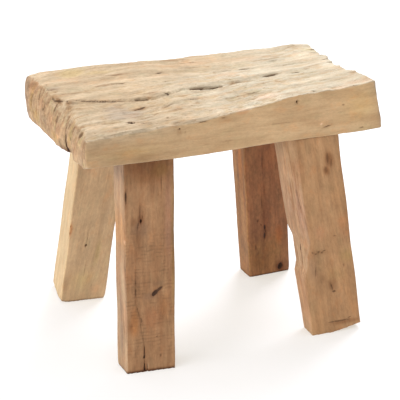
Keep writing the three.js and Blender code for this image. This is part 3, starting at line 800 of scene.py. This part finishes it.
# %% Marks of each post
# Marks by post and face: place across, height, half length, half width, depth, slope, darkness
POST_MARKS = {
    "leg_front_left": {
        "front": [
            (-11, 241, 3.4, 1.9, 5, 0, 1), (-12.5, 256, 13, 0.6, 1, 0, 0.55),
            (-15.5, 235, 8, 0.9, 1, 0.15, 0.6), (-8, 249, 8, 0.5, 1, 0.05, 0.5),
            (-20.3, 137, 24, 0.6, 1, 0, 0.75), (-16.2, 98, 17, 0.5, 1, -0.28, 0.45),
            (-11.6, 72, 15, 0.5, 1, -0.06, 0.35), (-10.4, 82, 6, 0.8, 1, -0.2, 0.5),
            (-8, 50, 14, 0.5, 1, -0.14, 0.5), (-6.4, 32, 11, 0.9, 2, 0, 0.9), (-7, 24, 3, 1.8, 3, 0, 1),
            (-6.6, 7, 13, 1.2, 3, 0, 0.9), (-6.6, -3, 11, 2.6, 4, 0, 1),
            (-34.6, 279, 12, 1.3, 2, 0, 0.85), (17, 280, 4, 0.8, 1, 0, 0.5), (14, 55, 1.1, 5, 1, 0, 0.4),
            (22, 300, 15, 0.5, 1, 0, 0.3), (20, 24, 3, 1.6, 1, 0, 0.4),
        ],
        "left": [(-17, 160, 26, 0.6, 1, 0.02, 0.35), (-4, 70, 14, 0.8, 1, 0.1, 0.4)],
    },
    "leg_front_right": {
        "front": [
            (25, 299, 9, 2.2, 1, 0.1, 0.28), (18.5, 279, 6, 2.4, 1, 0, 0.28),
            (30, 290, 7, 1.4, 1, 0.3, 0.22), (-6.8, 80, 8, 1.2, 1, -0.1, 0.6),
            (-3.8, 72, 2, 3.6, 1, 0, 0.65), (-29, 143, 1.6, 2, 1, 0, 0.45),
            (-24, 140, 1.4, 2.4, 1, 0, 0.4), (-18.5, 143, 1.6, 1.8, 1, 0, 0.45),
            (-13, 141, 1.8, 2, 1, 0, 0.45), (-8, 144, 1.6, 2.2, 1, 0, 0.5),
            (13.7, 167, 1.4, 5, 1, 0, 0.35), (20.9, 115, 3, 1.6, 1, 0, 0.3),
            (-4, 19, 1.1, 22, 1, 0, 0.6), (18, 22, 1, 17, 1, 0, 0.6), (-34, 230, 30, 0.6, 1, -0.05, 0.3),
            (-30, 110, 10, 0.9, 1, 0.2, 0.35),
        ],
        "left": [
            (-5, 147, 8, 1.3, 2, 0, 0.9), (-7, 128, 15, 1.6, 3, 0, 0.85),
            (12, 126, 9, 0.9, 2, -0.2, 0.45), (0, 80, 26, 0.7, 1, 0.05, 0.35),
        ],
    },
    "leg_rear_left": {
        "front": [
            (0.6, 107, 2.6, 1.6, 3, 0, 0.8), (1.4, 122, 12, 0.4, 1, 0, 0.3),
            (7.6, 62, 16, 0.5, 1, 0, 0.25), (-28, 60, 5, 0.7, 1, 0, 0.3),
            (-33, 146, 3, 1.2, 1, 0.3, 0.6), (-32, 134, 3.4, 1.4, 1, -0.3, 0.6),
        ],
    },
    "leg_rear_right": {
        "front": [
            (20.1, 12.5, 7.5, 5, 5, 0.2, 1), (-5.8, 97, 6, 1.7, 2, 0, 1), (-6.6, 80, 7, 1.8, 2, 0.1, 1),
            (-4.6, 89, 3, 0.9, 1, 0, 0.7), (-18.2, 112, 4, 1.6, 1, 0.3, 0.6),
            (-13, 104, 3, 1.2, 1, -0.4, 0.5), (-4.4, 172, 13, 0.7, 1, 0, 0.5),
            (-10, 150, 12, 0.7, 1, 0, 0.45), (5, 132, 9, 0.7, 1, 0, 0.35), (-25, 60, 6, 1, 1, 0, 0.45),
            (-5.4, 231, 18, 1, 1, 0, 0.5), (-21, 46, 4, 1, 1, 0.2, 0.4),
        ],
    },
}
# Each slanted knot: face, place across, height, half length, half width, tilt in degrees, depth, darkness
POST_KNOTS = {
    "leg_front_left": [
        ("front", 10.5, 125.5, 6.5, 3.6, 38, 2, 1), ("front", 18, 131, 6, 2.1, 34, 1, 0.85),
    ],
}
# Stains and painted shade by post and face: kind, place across, height, half width, half height, strength.
# The rows at height 0 that span a whole face are painted contact shadow at the foot.
POST_STAINS_AND_SHADE = {
    "leg_front_left": {
        "front": [
            ("grey", -12, 228, 14, 14, 0.9), ("grey", 2, 121, 12, 6, 0.9), ("pale", 25, 127, 4, 6, 1),
            ("grey", 18, 140, 12, 5, 0.5), ("brown", -16, 322, 28, 16, 0.8),
            ("brown", -16, 214, 10, 34, 0.5), ("brown", -22, 240, 8, 10, 0.5),
            ("brown", 6, 198, 5, 7, 0.4), ("brown", 5, 186, 12, 16, 0.25),
            ("mauve", 33, 240, 7, 70, 0.9), ("rosy", 6, 88, 16, 18, 0.7),
            ("orange", 26, 100, 10, 26, 0.5), ("orange", -22, 80, 7, 22, 0.9),
            ("brown", -29, 74, 4, 14, 0.6), ("pale", 12, 262, 16, 20, 0.3),
            ("olive", 20, 318, 16, 12, 0.8), ("pale", 14, 66, 18, 4, 0.5),
            # painted contact shadow: the full-width rows at height 0 darken the foot where it meets the
            # floor
            ("olive", 40, 200, 3, 130, 0.8), ("brown", 0, 0, 60, 5, 0.9),
            # painted shade: the full-width brown row at height 326 darkens the post's top under the seat
            ("brown", 0, 326, 60, 34, 0.75), ("brown", -12, 243, 6, 10, 0.7),
            ("ground", 0, 0, 60, 3.5, 1),
        ],
        "right": [("grey", 0, 250, 40, 90, 0.5)],
        "left": [
            ("dusty", 0, 200, 60, 400, 1), ("orange", 0, 224, 40, 44, 0.7), ("grey", 6, 56, 7, 26, 1),
            ("grey", 6, 100, 6, 24, 0.7), ("rosy", -10, 84, 6, 30, 0.9),
            ("white", -17.5, 210, 2.6, 3.4, 0.8), ("ground", 0, 0, 60, 3, 0.8),
            ("rosy", 10, 150, 10, 40, 0.5), ("grey", 0, 318, 40, 22, 0.8), ("pale", -8, 150, 9, 60, 0.5),
            ("pale", -12, 30, 8, 30, 0.5),
        ],
    },
    "leg_front_right": {
        "left": [
            ("mauve", 0, 210, 30, 70, 0.4), ("rosy", -3, 57, 30, 50, 0.8),
            ("dusty", 0, 180, 60, 400, 0.55), ("pale", -10, 118, 2.4, 16, 1),
            ("torn", 0, 230, 60, 80, 1), ("torn", 0, 120, 60, 34, 0.8),
        ],
        "front": [
            ("mauve", -36, 214, 9, 60, 0.7), ("brown", 0, 34, 60, 40, 0.2),
            ("grey", -34, 116, 12, 26, 0.6), ("brown", 26, 296, 9, 15, 0.75),
            ("brown", 19, 278, 7, 10, 0.7), ("rosy", 33, 176, 12, 26, 0.5),
            ("brown", -19, 142, 15, 5, 0.45), ("brown", -6, 84, 9, 12, 0.5),
            ("brown", -20, 96, 8, 10, 0.35), ("olive", 30, 130, 16, 14, 0.5),
            ("pale", -2, 132, 36, 5, 0.4), ("orange", 30, 226, 14, 50, 0.25),
            ("orange", 24, 60, 16, 50, 0.25), ("torn", -37, 230, 8, 76, 1),
            ("rosy", -28, 280, 12, 36, 0.5), ("brown", 6, 16, 34, 5, 0.6),
            ("mauve", -10, 176, 14, 16, 0.4), ("pale", 6, 214, 14, 40, 0.3),
            ("olive", 4, 100, 20, 14, 0.4),
        ],
    },
    "leg_rear_left": {
        "front": [
            ("ruddy", -33, 139, 5, 13, 1), ("brown", -26, 35, 12, 18, 0.35),
            ("olive", 23, 91, 6, 28, 0.6), ("rosy", 31, 20, 9, 12, 0.6), ("rosy", -18, 262, 14, 24, 0.4),
            ("olive", 8, 40, 30, 26, 0.4), ("ground", 0, 0, 60, 3, 0.8), ("grey", 26, 170, 8, 40, 0.3),
        ],
        "left": [("straw", 0, 170, 60, 400, 1), ("ground", 0, 0, 60, 3, 0.7)],
    },
    "leg_rear_right": {
        "front": [
            ("orange", 21, 78, 8, 20, 0.8), ("brown", -6, 120, 10, 70, 0.45),
            ("brown", -18, 30, 20, 22, 0.4), ("brown", 20, 12, 9, 12, 1), ("rosy", 8, 250, 22, 70, 0.5),
            ("ground", 0, 0, 60, 3, 0.8), ("brown", -6, 92, 5, 26, 0.6), ("pale", 0, 104, 34, 5, 0.35),
            ("brown", 0, 0, 60, 4, 0.6), ("olive", -6, 40, 40, 44, 0.8),
        ],
        "left": [
            ("orange", -8, 240, 8, 70, 0.9), ("tan", 0, 180, 60, 400, 0.95),
            ("grey", 0, 60, 40, 20, 0.4), ("brown", 0, 0, 60, 4, 0.7),
        ],
    },
}
# Each face: how far it looks across and through the post, and to which side
FACES = {"front": (0, 1, -1), "left": (1, 0, -1), "right": (1, 0, 1)}


def stain_and_shade_kinds(node):
    """The kinds of stain and painted shade that a post has."""
    return sorted({row[0] for rows in POST_STAINS_AND_SHADE[node].values() for row in rows})


print("marks on the posts:", {node: sum(map(len, on.values())) for node, on in POST_MARKS.items()})

# %% [markdown]
# ## Pressing the marks in
# As on the seat, all that a mark needs is a distance: how far each point lies outside it, on its own
# face. Points that face another way are counted as far off.

# %% Pressed marks of a post
def survey_post(node, mesh):
    """Where each point lies in the post's own coordinates, which way it faces, and how near an edge."""
    turn, lean = post_lines[node]
    p = points_of(mesh)
    at = SimpleNamespace(p=p, n=normals_of(mesh), turn=turn, local=in_post(p, turn, lean))
    at.u, at.v, at.h = u, v, h = at.local.T
    c, s = math.cos(turn), math.sin(turn)
    at.nu, at.nv = at.n[:, :2] @ (c, s), at.n[:, :2] @ (-s, c)
    shown = h < UNDERSIDE - 2
    levels = np.arange(10, UNDERSIDE, 10)
    inside = []
    for place in (u, v):
        half = [abs(place[(abs(h - level) < 12) & shown]).max() for level in levels]
        inside.append(np.maximum(np.interp(h, levels, half) - abs(place), 0))
    at.shown, at.to_edge = shown, np.hypot(*inside)
    return at


def on_face(at, face):
    """How squarely each point looks towards a face, from -1 to 1, and its place across that face."""
    on_u, on_v, sign = FACES[face]
    return sign * (on_u * at.nu + on_v * at.nv), at.v if on_u else at.u


def post_marks(at, node, seed):
    """Every check, knot and hole of a post, pressed in on its own face."""
    marks = Marks(len(at.h), 0.8)
    ragged = 0.35 * noise(at.local, (2.5, 2.5, 6), seed)

    def off_face(facing):
        return FAR_OFF * (1 - smooth(facing, 0.35, 0.7))

    for face, rows in POST_MARKS[node].items():
        facing, across = on_face(at, face)
        for place, height, length, width, depth, slope, dark in rows:
            away = spindle(at.h, across, height, place, length, width, slope) + ragged
            marks.press(away + off_face(facing), width, depth, dark)
    for face, place, height, length, width, tilt, depth, dark in POST_KNOTS.get(node, []):
        facing, across = on_face(at, face)
        c, s = math.cos(math.radians(tilt)), math.sin(math.radians(tilt))
        du, dh = across - place, at.h - height
        ring = np.hypot((du * c + dh * s) / length, (dh * c - du * s) / width)
        marks.press((ring - 1) * width + ragged + off_face(facing), width, depth, dark)
    return marks


print("faces of a post:", sorted(FACES))

# %% [markdown]
# ## Weathering the posts
# The posts kept more of their sawn faces than the seat. Their relief is low: fibres that stand proud,
# rubbed and chipped long edges, worn feet, and the marks above. The upper ends stay as they are, since
# they sit in the seat.

# %% Weathered posts
# Each post: the skin's name, its seed, how far its long edges are rubbed, how far its fibres stand out
POST_WEAR = {
    "leg_front_left": ("post_front_left", 101, 0.9, 0.14),
    "leg_front_right": ("post_front_right", 121, 0.9, 0.16),
    "leg_rear_left": ("post_rear_left", 141, 0.7, 0.1),
    "leg_rear_right": ("post_rear_right", 161, 0.8, 0.2),
}
# Each corner broken off a foot: place across and through, how far it reaches, how high it lies
FOOT_CHIPS = {"leg_rear_left": [(-37, -37, 26, 5.5)]}


def worn_post(at, node, seed, wear):
    """How far each point moves sideways and up, where edges are rubbed and the foot is chipped."""
    bites = np.maximum(0, rough(at.local, (9, 9, 16), seed + 1, 2))
    rub = wear * (0.15 + 0.4 * noise(at.local, (20, 20, 55), seed) + 0.6 * bites)
    rub = np.clip(rub, 0, 2) * smooth(at.to_edge, 7, 0)
    foot = np.clip(0.8 + 1.4 * rough(at.local, (8, 8, 10), seed + 2, 2), 0, 2.6) * smooth(at.h, 10, 0)
    foot *= smooth(at.to_edge, 6, 0)

    c, s = math.cos(at.turn), math.sin(at.turn)
    outward = np.column_stack([np.sign(at.u), np.sign(at.v)])
    inward = -(outward * (rub + foot)[:, None]) @ np.array([[c, s], [-s, c]])
    up = 0.5 * foot
    for across, through, reach, lift in FOOT_CHIPS.get(node, []):
        up = up + lift * smooth(np.hypot(at.u - across, at.v - through), reach, 0) * smooth(at.h, 16, 0)
    return np.column_stack([inward * 0.7, up])


def weather_post(node, name, seed, wear, fibre):
    """A post's weathered skin, with the masks that its finish reads. wear and fibre are in mm."""
    piece = skin_of(node, name, 1.1, np.array((1, 1, 0.5)))
    mesh = piece.data
    at = survey_post(node, mesh)
    sway = [2.2 * noise(at.local, (30, 30, 110), seed + k) for k in (3, 4)]
    bent = at.local + np.column_stack([*sway, 1.6 * noise(at.local, (26, 26, 60), seed + 9)])
    fibres = 0.6 * noise(bent, (3.6, 3.6, 120), seed + 5) + 0.4 * noise(bent, (1.9, 1.9, 60), seed + 6)
    relief = fibre * fibres + 0.35 * noise(at.local, (18, 18, 50), seed + 7)
    marks = post_marks(at, node, seed + 8)
    step = at.n * (relief - marks.depth)[:, None] + worn_post(at, node, seed, wear)
    p = at.p + step * at.shown[:, None]
    p[:, 2] = np.maximum(p[:, 2], 0)
    put_points(mesh, p)

    sawn = smooth(-at.nv, 0.4, 0.8) * smooth(at.h, 14, 40) * smooth(at.h, 240, 200)
    keep(mesh, grain=bent, gap=marks.gap, tone=marks.tone, relief=np.clip(fibres, -1, 1))
    keep(mesh, end_wood=smooth(abs(at.n[:, 2]), 0.6, 0.9), saw_marks=sawn)
    faces = []
    for face, rows in POST_STAINS_AND_SHADE[node].items():
        facing, across = on_face(at, face)
        faces.append((rows, across, at.h, smooth(facing, 0.2, 0.6)))
    spread_stains_and_shade(mesh, stain_and_shade_kinds(node), faces)
    return piece


posts = {node: weather_post(node, *wear) for node, wear in POST_WEAR.items()}
print("weathered:", sorted(post.name for post in posts.values()))

# %% [markdown]
# ## Sound wood
# Every finish below is the same wood in other colours: wide bands, narrow streaks and fine fibres, all
# drawn out along the grain. Its noises are handed on, because stains, splits and relief should follow
# the same fibres as the colour does.

# %% Sound wood
def mask(start, attribute, output="Fac"):
    """A mask that was stored on the skin, by its name."""
    return start.node("ShaderNodeAttribute", output=output, attribute_name=attribute)


def streaks(start, widths, seed, detail=2.0, sharp=0.5):
    """Noise from 0 to 1 in the wood's own directions; widths in mm across, through and along."""
    place = mask(start, "grain", "Vector") * tuple(1 / w for w in widths) + (seed, seed * 1.7, seed * 0.6)
    sockets = {"Vector": place, "Scale": 1, "Detail": detail, "Roughness": sharp}
    return start.node("ShaderNodeTexNoise", sockets)


def sound_wood(start, tones, pitch, contrast, patches, mottle):
    """Colour of the wood, with painted shade in the low parts of its relief and painted light on its
    ridges, and the noises it is made of. tones: dark, middle and light.
    """
    dark, middle, light = tones
    band, streak, fibre = pitch
    wide = streaks(start, (band, band, band * 8), 3, 3)
    made = SimpleNamespace(
        narrow=streaks(start, (streak, streak, streak * 8), 7, 3, 0.6),
        thin=streaks(start, (fibre, fibre, fibre * 13), 11, 2),
        blotch=streaks(start, (24, 24, 38), 17, 4, 0.62),
        speck=streaks(start, (2.2, 2.2, 3.4), 23, 2),
    )
    hue = streaks(start, (17, 17, 32), 71, 4, 0.65)
    fleck = streaks(start, (4, 4, 7), 37, 2)
    colour = start.blend(middle, light, wide.between(0.3, 0.7))
    colour = colour.mixed(dark, made.narrow.between(0.52, 0.78) * (0.7 * contrast))
    colour = colour.mixed(light, made.narrow.between(0.46, 0.26) * (0.5 * contrast))
    shade = 1 + (made.thin - 0.5) * (0.5 * contrast) + (made.blotch - 0.5) * patches
    shade = shade + (made.speck - 0.5) * 0.2 + (fleck - 0.5) * mottle
    # painted shade and light: the low parts of the relief are darker and its ridges lighter
    shade = shade + mask(start, "relief") * 0.14
    colour = colour * shade
    colour = colour.tinted((1.05, 0.95, 0.88), hue.between(0.53, 0.68) * 0.8)
    return colour.tinted((0.94, 0.99, 0.98), hue.between(0.47, 0.32) * 0.8), made


print("masks on the seat:", [name for name in seat.data.attributes.keys() if name[0] != "."])

# %% [markdown]
# ## Stains, painted shade, splits and end grain
# Weather comes on top. A stain multiplies the colour instead of replacing it, so the fibres show through,
# and the painted shade at the posts' feet and under the seat of the front left post is laid on the same
# way. Torn fibres alternate light and dark. Splits are nearly black with painted shade inside them, with a
# soft brown halo where water has crept into their sides; a knot keeps the same dark as its own wood.

# %% Weathered wood
STAINS_AND_SHADE = {
    "grey": (0.84, 0.86, 0.94), "rosy": (1.05, 0.92, 0.87), "brown": (0.62, 0.50, 0.40),
    "pale": (1.15, 1.16, 1.18), "orange": (1.12, 0.92, 0.70), "olive": (0.90, 0.96, 0.80),
    "gold": (1.03, 1.01, 0.82), "dusty": (0.98, 1.16, 1.40), "straw": (1.04, 1.12, 1.12),
    "tan": (1.14, 1.31, 1.27), "mauve": (0.96, 0.93, 1.06), "ruddy": (0.86, 0.62, 0.46),
    # painted contact shadow: the first tint on the next line darkens each post's foot where it meets the
    # floor
    "ground": (0.42, 0.37, 0.34), "white": (1.4, 1.55, 1.9), "torn": (1.04, 1.02, 1.04),
}


def stained_and_shaded(start, colour, stains, made):
    """The colour with its stains and painted shade, their edges made ragged by the wood's own noises."""
    for stain in stains:
        ragged = mask(start, stain) * (0.45 + 1.1 * made.blotch) * (0.7 + 0.6 * made.narrow)
        colour = colour.tinted(STAINS_AND_SHADE[stain], ragged.between(0.03, 0.75))
    if "torn" in stains:
        fibres = streaks(start, (2.4, 2.4, 46), 81, 2)
        torn = mask(start, "torn")
        colour = colour.tinted((1.22, 1.16, 1.16), fibres.between(0.52, 0.62) * torn)
        colour = colour.tinted((0.80, 0.70, 0.62), fibres.between(0.47, 0.38) * torn)
    return colour


def wood(
    start, tones, stains, contrast, patches, mottle, pitch=(12, 3.6, 1.2), end_tint=(0.86, 0.76, 0.70),
):
    """Colour and height of a weathered wood. pitch: widths of its band, streak and fibre in mm."""
    colour, made = sound_wood(start, tones, pitch, contrast, patches, mottle)
    colour = stained_and_shaded(start, colour, stains, made)
    pore = streaks(start, (1.1, 1.1, 9), 31, 1).between(0.66, 0.74) * (0.5 * contrast)
    colour = colour.tinted((0.55, 0.45, 0.36), pore)
    colour = colour.tinted(end_tint, mask(start, "end_wood"))
    gap = mask(start, "gap") + (made.speck - 0.5) * 0.9
    split = gap.between(0.25, -0.5) * mask(start, "tone")
    halo = gap.between(2.6, 0) * mask(start, "tone") * 0.45
    colour = colour.tinted((0.62, 0.5, 0.4), halo)
    # painted shade: inside splits, checks and holes the colour goes nearly black; in a knot the same dark
    # is its own wood
    colour = colour.mixed((0.045, 0.019, 0.009), split * 0.94)
    return colour, made.thin * 0.35 + made.narrow * 0.5 + made.speck * 0.15 - split * 1.2 - pore


def finish_wood(start, colour, height, bump, roughness=0.82):
    """Wires colour and height into the material's shader."""
    lifted = start.node("ShaderNodeBump", {"Strength": bump, "Distance": 0.0012, "Height": height})
    sockets = {"Base Color": colour, "Roughness": roughness, "Specular IOR Level": 0.28, "Normal": lifted}
    shader = start.node("ShaderNodeBsdfPrincipled", sockets)
    start.node("ShaderNodeOutputMaterial", {"Surface": shader})


print(len(STAINS_AND_SHADE), "kinds of stain can lie on the wood")

# %% [markdown]
# ## Finish of the seat
# The seat has bleached unevenly: whiter and rosier towards the right, greyer at the front left. Its left
# end is darker and redder, because end grain drinks more rain than the long sides.

# %% Finish of the seat
start, seat_wood = new_finish("weathered_seat_wood")
quiet = 1 - mask(start, "calm") * 0.55
colour, height = wood(
    start, ((0.295, 0.208, 0.128), (0.40, 0.295, 0.188), (0.485, 0.375, 0.253)), SEAT_STAIN_KINDS,
    contrast=quiet * 0.85, patches=quiet * 0.45, mottle=quiet * 0.4,
    pitch=(13, 4.2, 1.6), end_tint=(0.755, 0.66, 0.58),
)
bleached = mask(start, "bleached")
colour = colour.tinted((1.06, 1.21, 1.39), bleached)
hollows = mask(start, "relief").between(0.15, -0.7)
colour = colour.tinted((1.05, 0.96, 0.83), hollows * 0.9)
blush = streaks(start, (8, 8, 30), 43, 3).between(0.47, 0.64) * bleached
colour = colour.tinted((1.04, 0.94, 0.88), blush * 0.7)
chalk = streaks(start, (2.6, 2.6, 7), 47, 2).between(0.55, 0.68) * bleached
colour = colour.tinted((1.12, 1.13, 1.16), chalk * 0.8)
colour = colour.tinted((0.95, 0.83, 0.68), mask(start, "sawn"))
# the front face is made lighter towards the right
colour = colour * (1 + mask(start, "front_bleached") * 0.2)
lichen = streaks(start, (7, 30, 12), 53, 2).between(0.54, 0.68) * mask(start, "end_wood")
colour = colour.tinted((0.98, 1.14, 1.02), lichen * 0.7)
crumbs = streaks(start, (4.5, 8, 12), 61, 2) - 0.5
colour = colour * (1 + mask(start, "blocks") * 0.3 + mask(start, "end_wood") * crumbs * 0.9)
# painted shade: the fissures between the end-grain blocks are darkened
colour = colour.tinted((0.62, 0.48, 0.42), mask(start, "fissure") * 0.55)
pits = streaks(start, (2.4, 2.4, 5.5), 91, 2).between(0.61, 0.69) * mask(start, "pitted")
colour = colour.tinted((0.60, 0.47, 0.36), pits * 0.65)
thin_line = (mask(start, "check") + (streaks(start, (2.2, 2.2, 3.4), 59) - 0.5) * 0.8).between(0.55, 0.0)
colour = colour.tinted((0.62, 0.50, 0.40), thin_line * 0.55)
# painted shade: the shake's inner walls are painted a nearly black brown
colour = colour.mixed((0.10, 0.05, 0.022), mask(start, "shake") * 0.9)
finish_wood(start, colour, height, 0.6)
seat.data.materials.append(seat_wood)
print("the seat is finished")

# %% [markdown]
# ## Finishes of the posts
# The front left post still shows the level lines of the saw, the rear right one is mottled, and the two
# others are plain. Each beam had its own colour.

# %% Finishes of the posts
def saw_lines(start):
    """Level lines across the grain, as a bandsaw leaves them, where they haven't worn away."""
    sockets = {"Vector": mask(start, "grain", "Vector"), "Scale": 0.056, "Distortion": 3.5, "Detail": 3}
    waves = start.node("ShaderNodeTexWave", sockets, wave_type="BANDS", bands_direction="Z")
    broken = streaks(start, (15, 15, 11), 45, 3).between(0.44, 0.62)
    return waves.between(0.45, 0.95) * broken * mask(start, "saw_marks")


# Each wood: its post, then contrast, patches, mottle and saw lines, then its dark, middle and light tones
POST_WOODS = {
    "red_brown_wood": (
        "leg_front_left", 0.4, 0.6, 0.45, 0.17,
        ((0.180, 0.084, 0.038), (0.268, 0.133, 0.060), (0.34, 0.186, 0.090)),
    ),
    "mid_brown_wood": (
        "leg_front_right", 0.5, 0.7, 0.3, 0,
        ((0.268, 0.136, 0.063), (0.352, 0.189, 0.086), (0.412, 0.231, 0.110)),
    ),
    "pale_tan_wood": (
        "leg_rear_left", 0.4, 0.5, 0.3, 0,
        ((0.358, 0.228, 0.123), (0.431, 0.280, 0.154), (0.483, 0.326, 0.184)),
    ),
    "dark_red_wood": (
        "leg_rear_right", 0.6, 0.8, 0.7, 0,
        ((0.13, 0.053, 0.022), (0.209, 0.084, 0.035), (0.29, 0.127, 0.053)),
    ),
}
for name, (node, contrast, patches, mottle, saw, tones) in POST_WOODS.items():
    start, material = new_finish(name)
    colour, height = wood(start, tones, stain_and_shade_kinds(node), contrast, patches, mottle)
    if saw:
        lines = saw_lines(start)
        colour, height = colour * (1.03 - lines * saw), height - lines * 0.35
    finish_wood(start, colour, height, 0.4, 0.72)
    posts[node].data.materials.append(material)
print("finishes of the posts:", list(POST_WOODS))

# %% [markdown]
# ## Hidden wedges
# Each post's tenon is spread by a wedge, out of sight in its mortise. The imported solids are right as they
# are, so they only get a plain, straight-grained wood.

# %% Finish of the wedges
WEDGE_STOPS = [(0.3, (0.33, 0.2, 0.11)), (0.7, (0.5, 0.34, 0.2))]

start, wedge_wood = new_finish("wedge_wood")
place = start.node("ShaderNodeTexCoord", output=3)
lines = start.node("ShaderNodeTexNoise", {"Vector": place * (900, 900, 60), "Scale": 1, "Detail": 3})
finish_wood(start, start.node("ShaderNodeValToRGB", {"Fac": lines}, stops=WEDGE_STOPS), lines, 0.3, 0.7)
wedges = [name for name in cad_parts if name.startswith("wedge")]
for name in wedges:
    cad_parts[name].data.materials.clear()
    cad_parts[name].data.materials.append(wedge_wood)
print(len(wedges), "wedges have their finish")

# %% [markdown]
# ## Standing for the imported pieces
# Each weathered piece takes the place of its imported solid and moves with the stool's one body.

# %% Riding along with the body
dressed = {"seat_slab": (seat, "weathered_seat_wood")}
dressed |= {node: (posts[node], name) for name, (node, *_) in POST_WOODS.items()}
for node, (piece, slot) in dressed.items():
    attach(piece, "root")
    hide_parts(node)
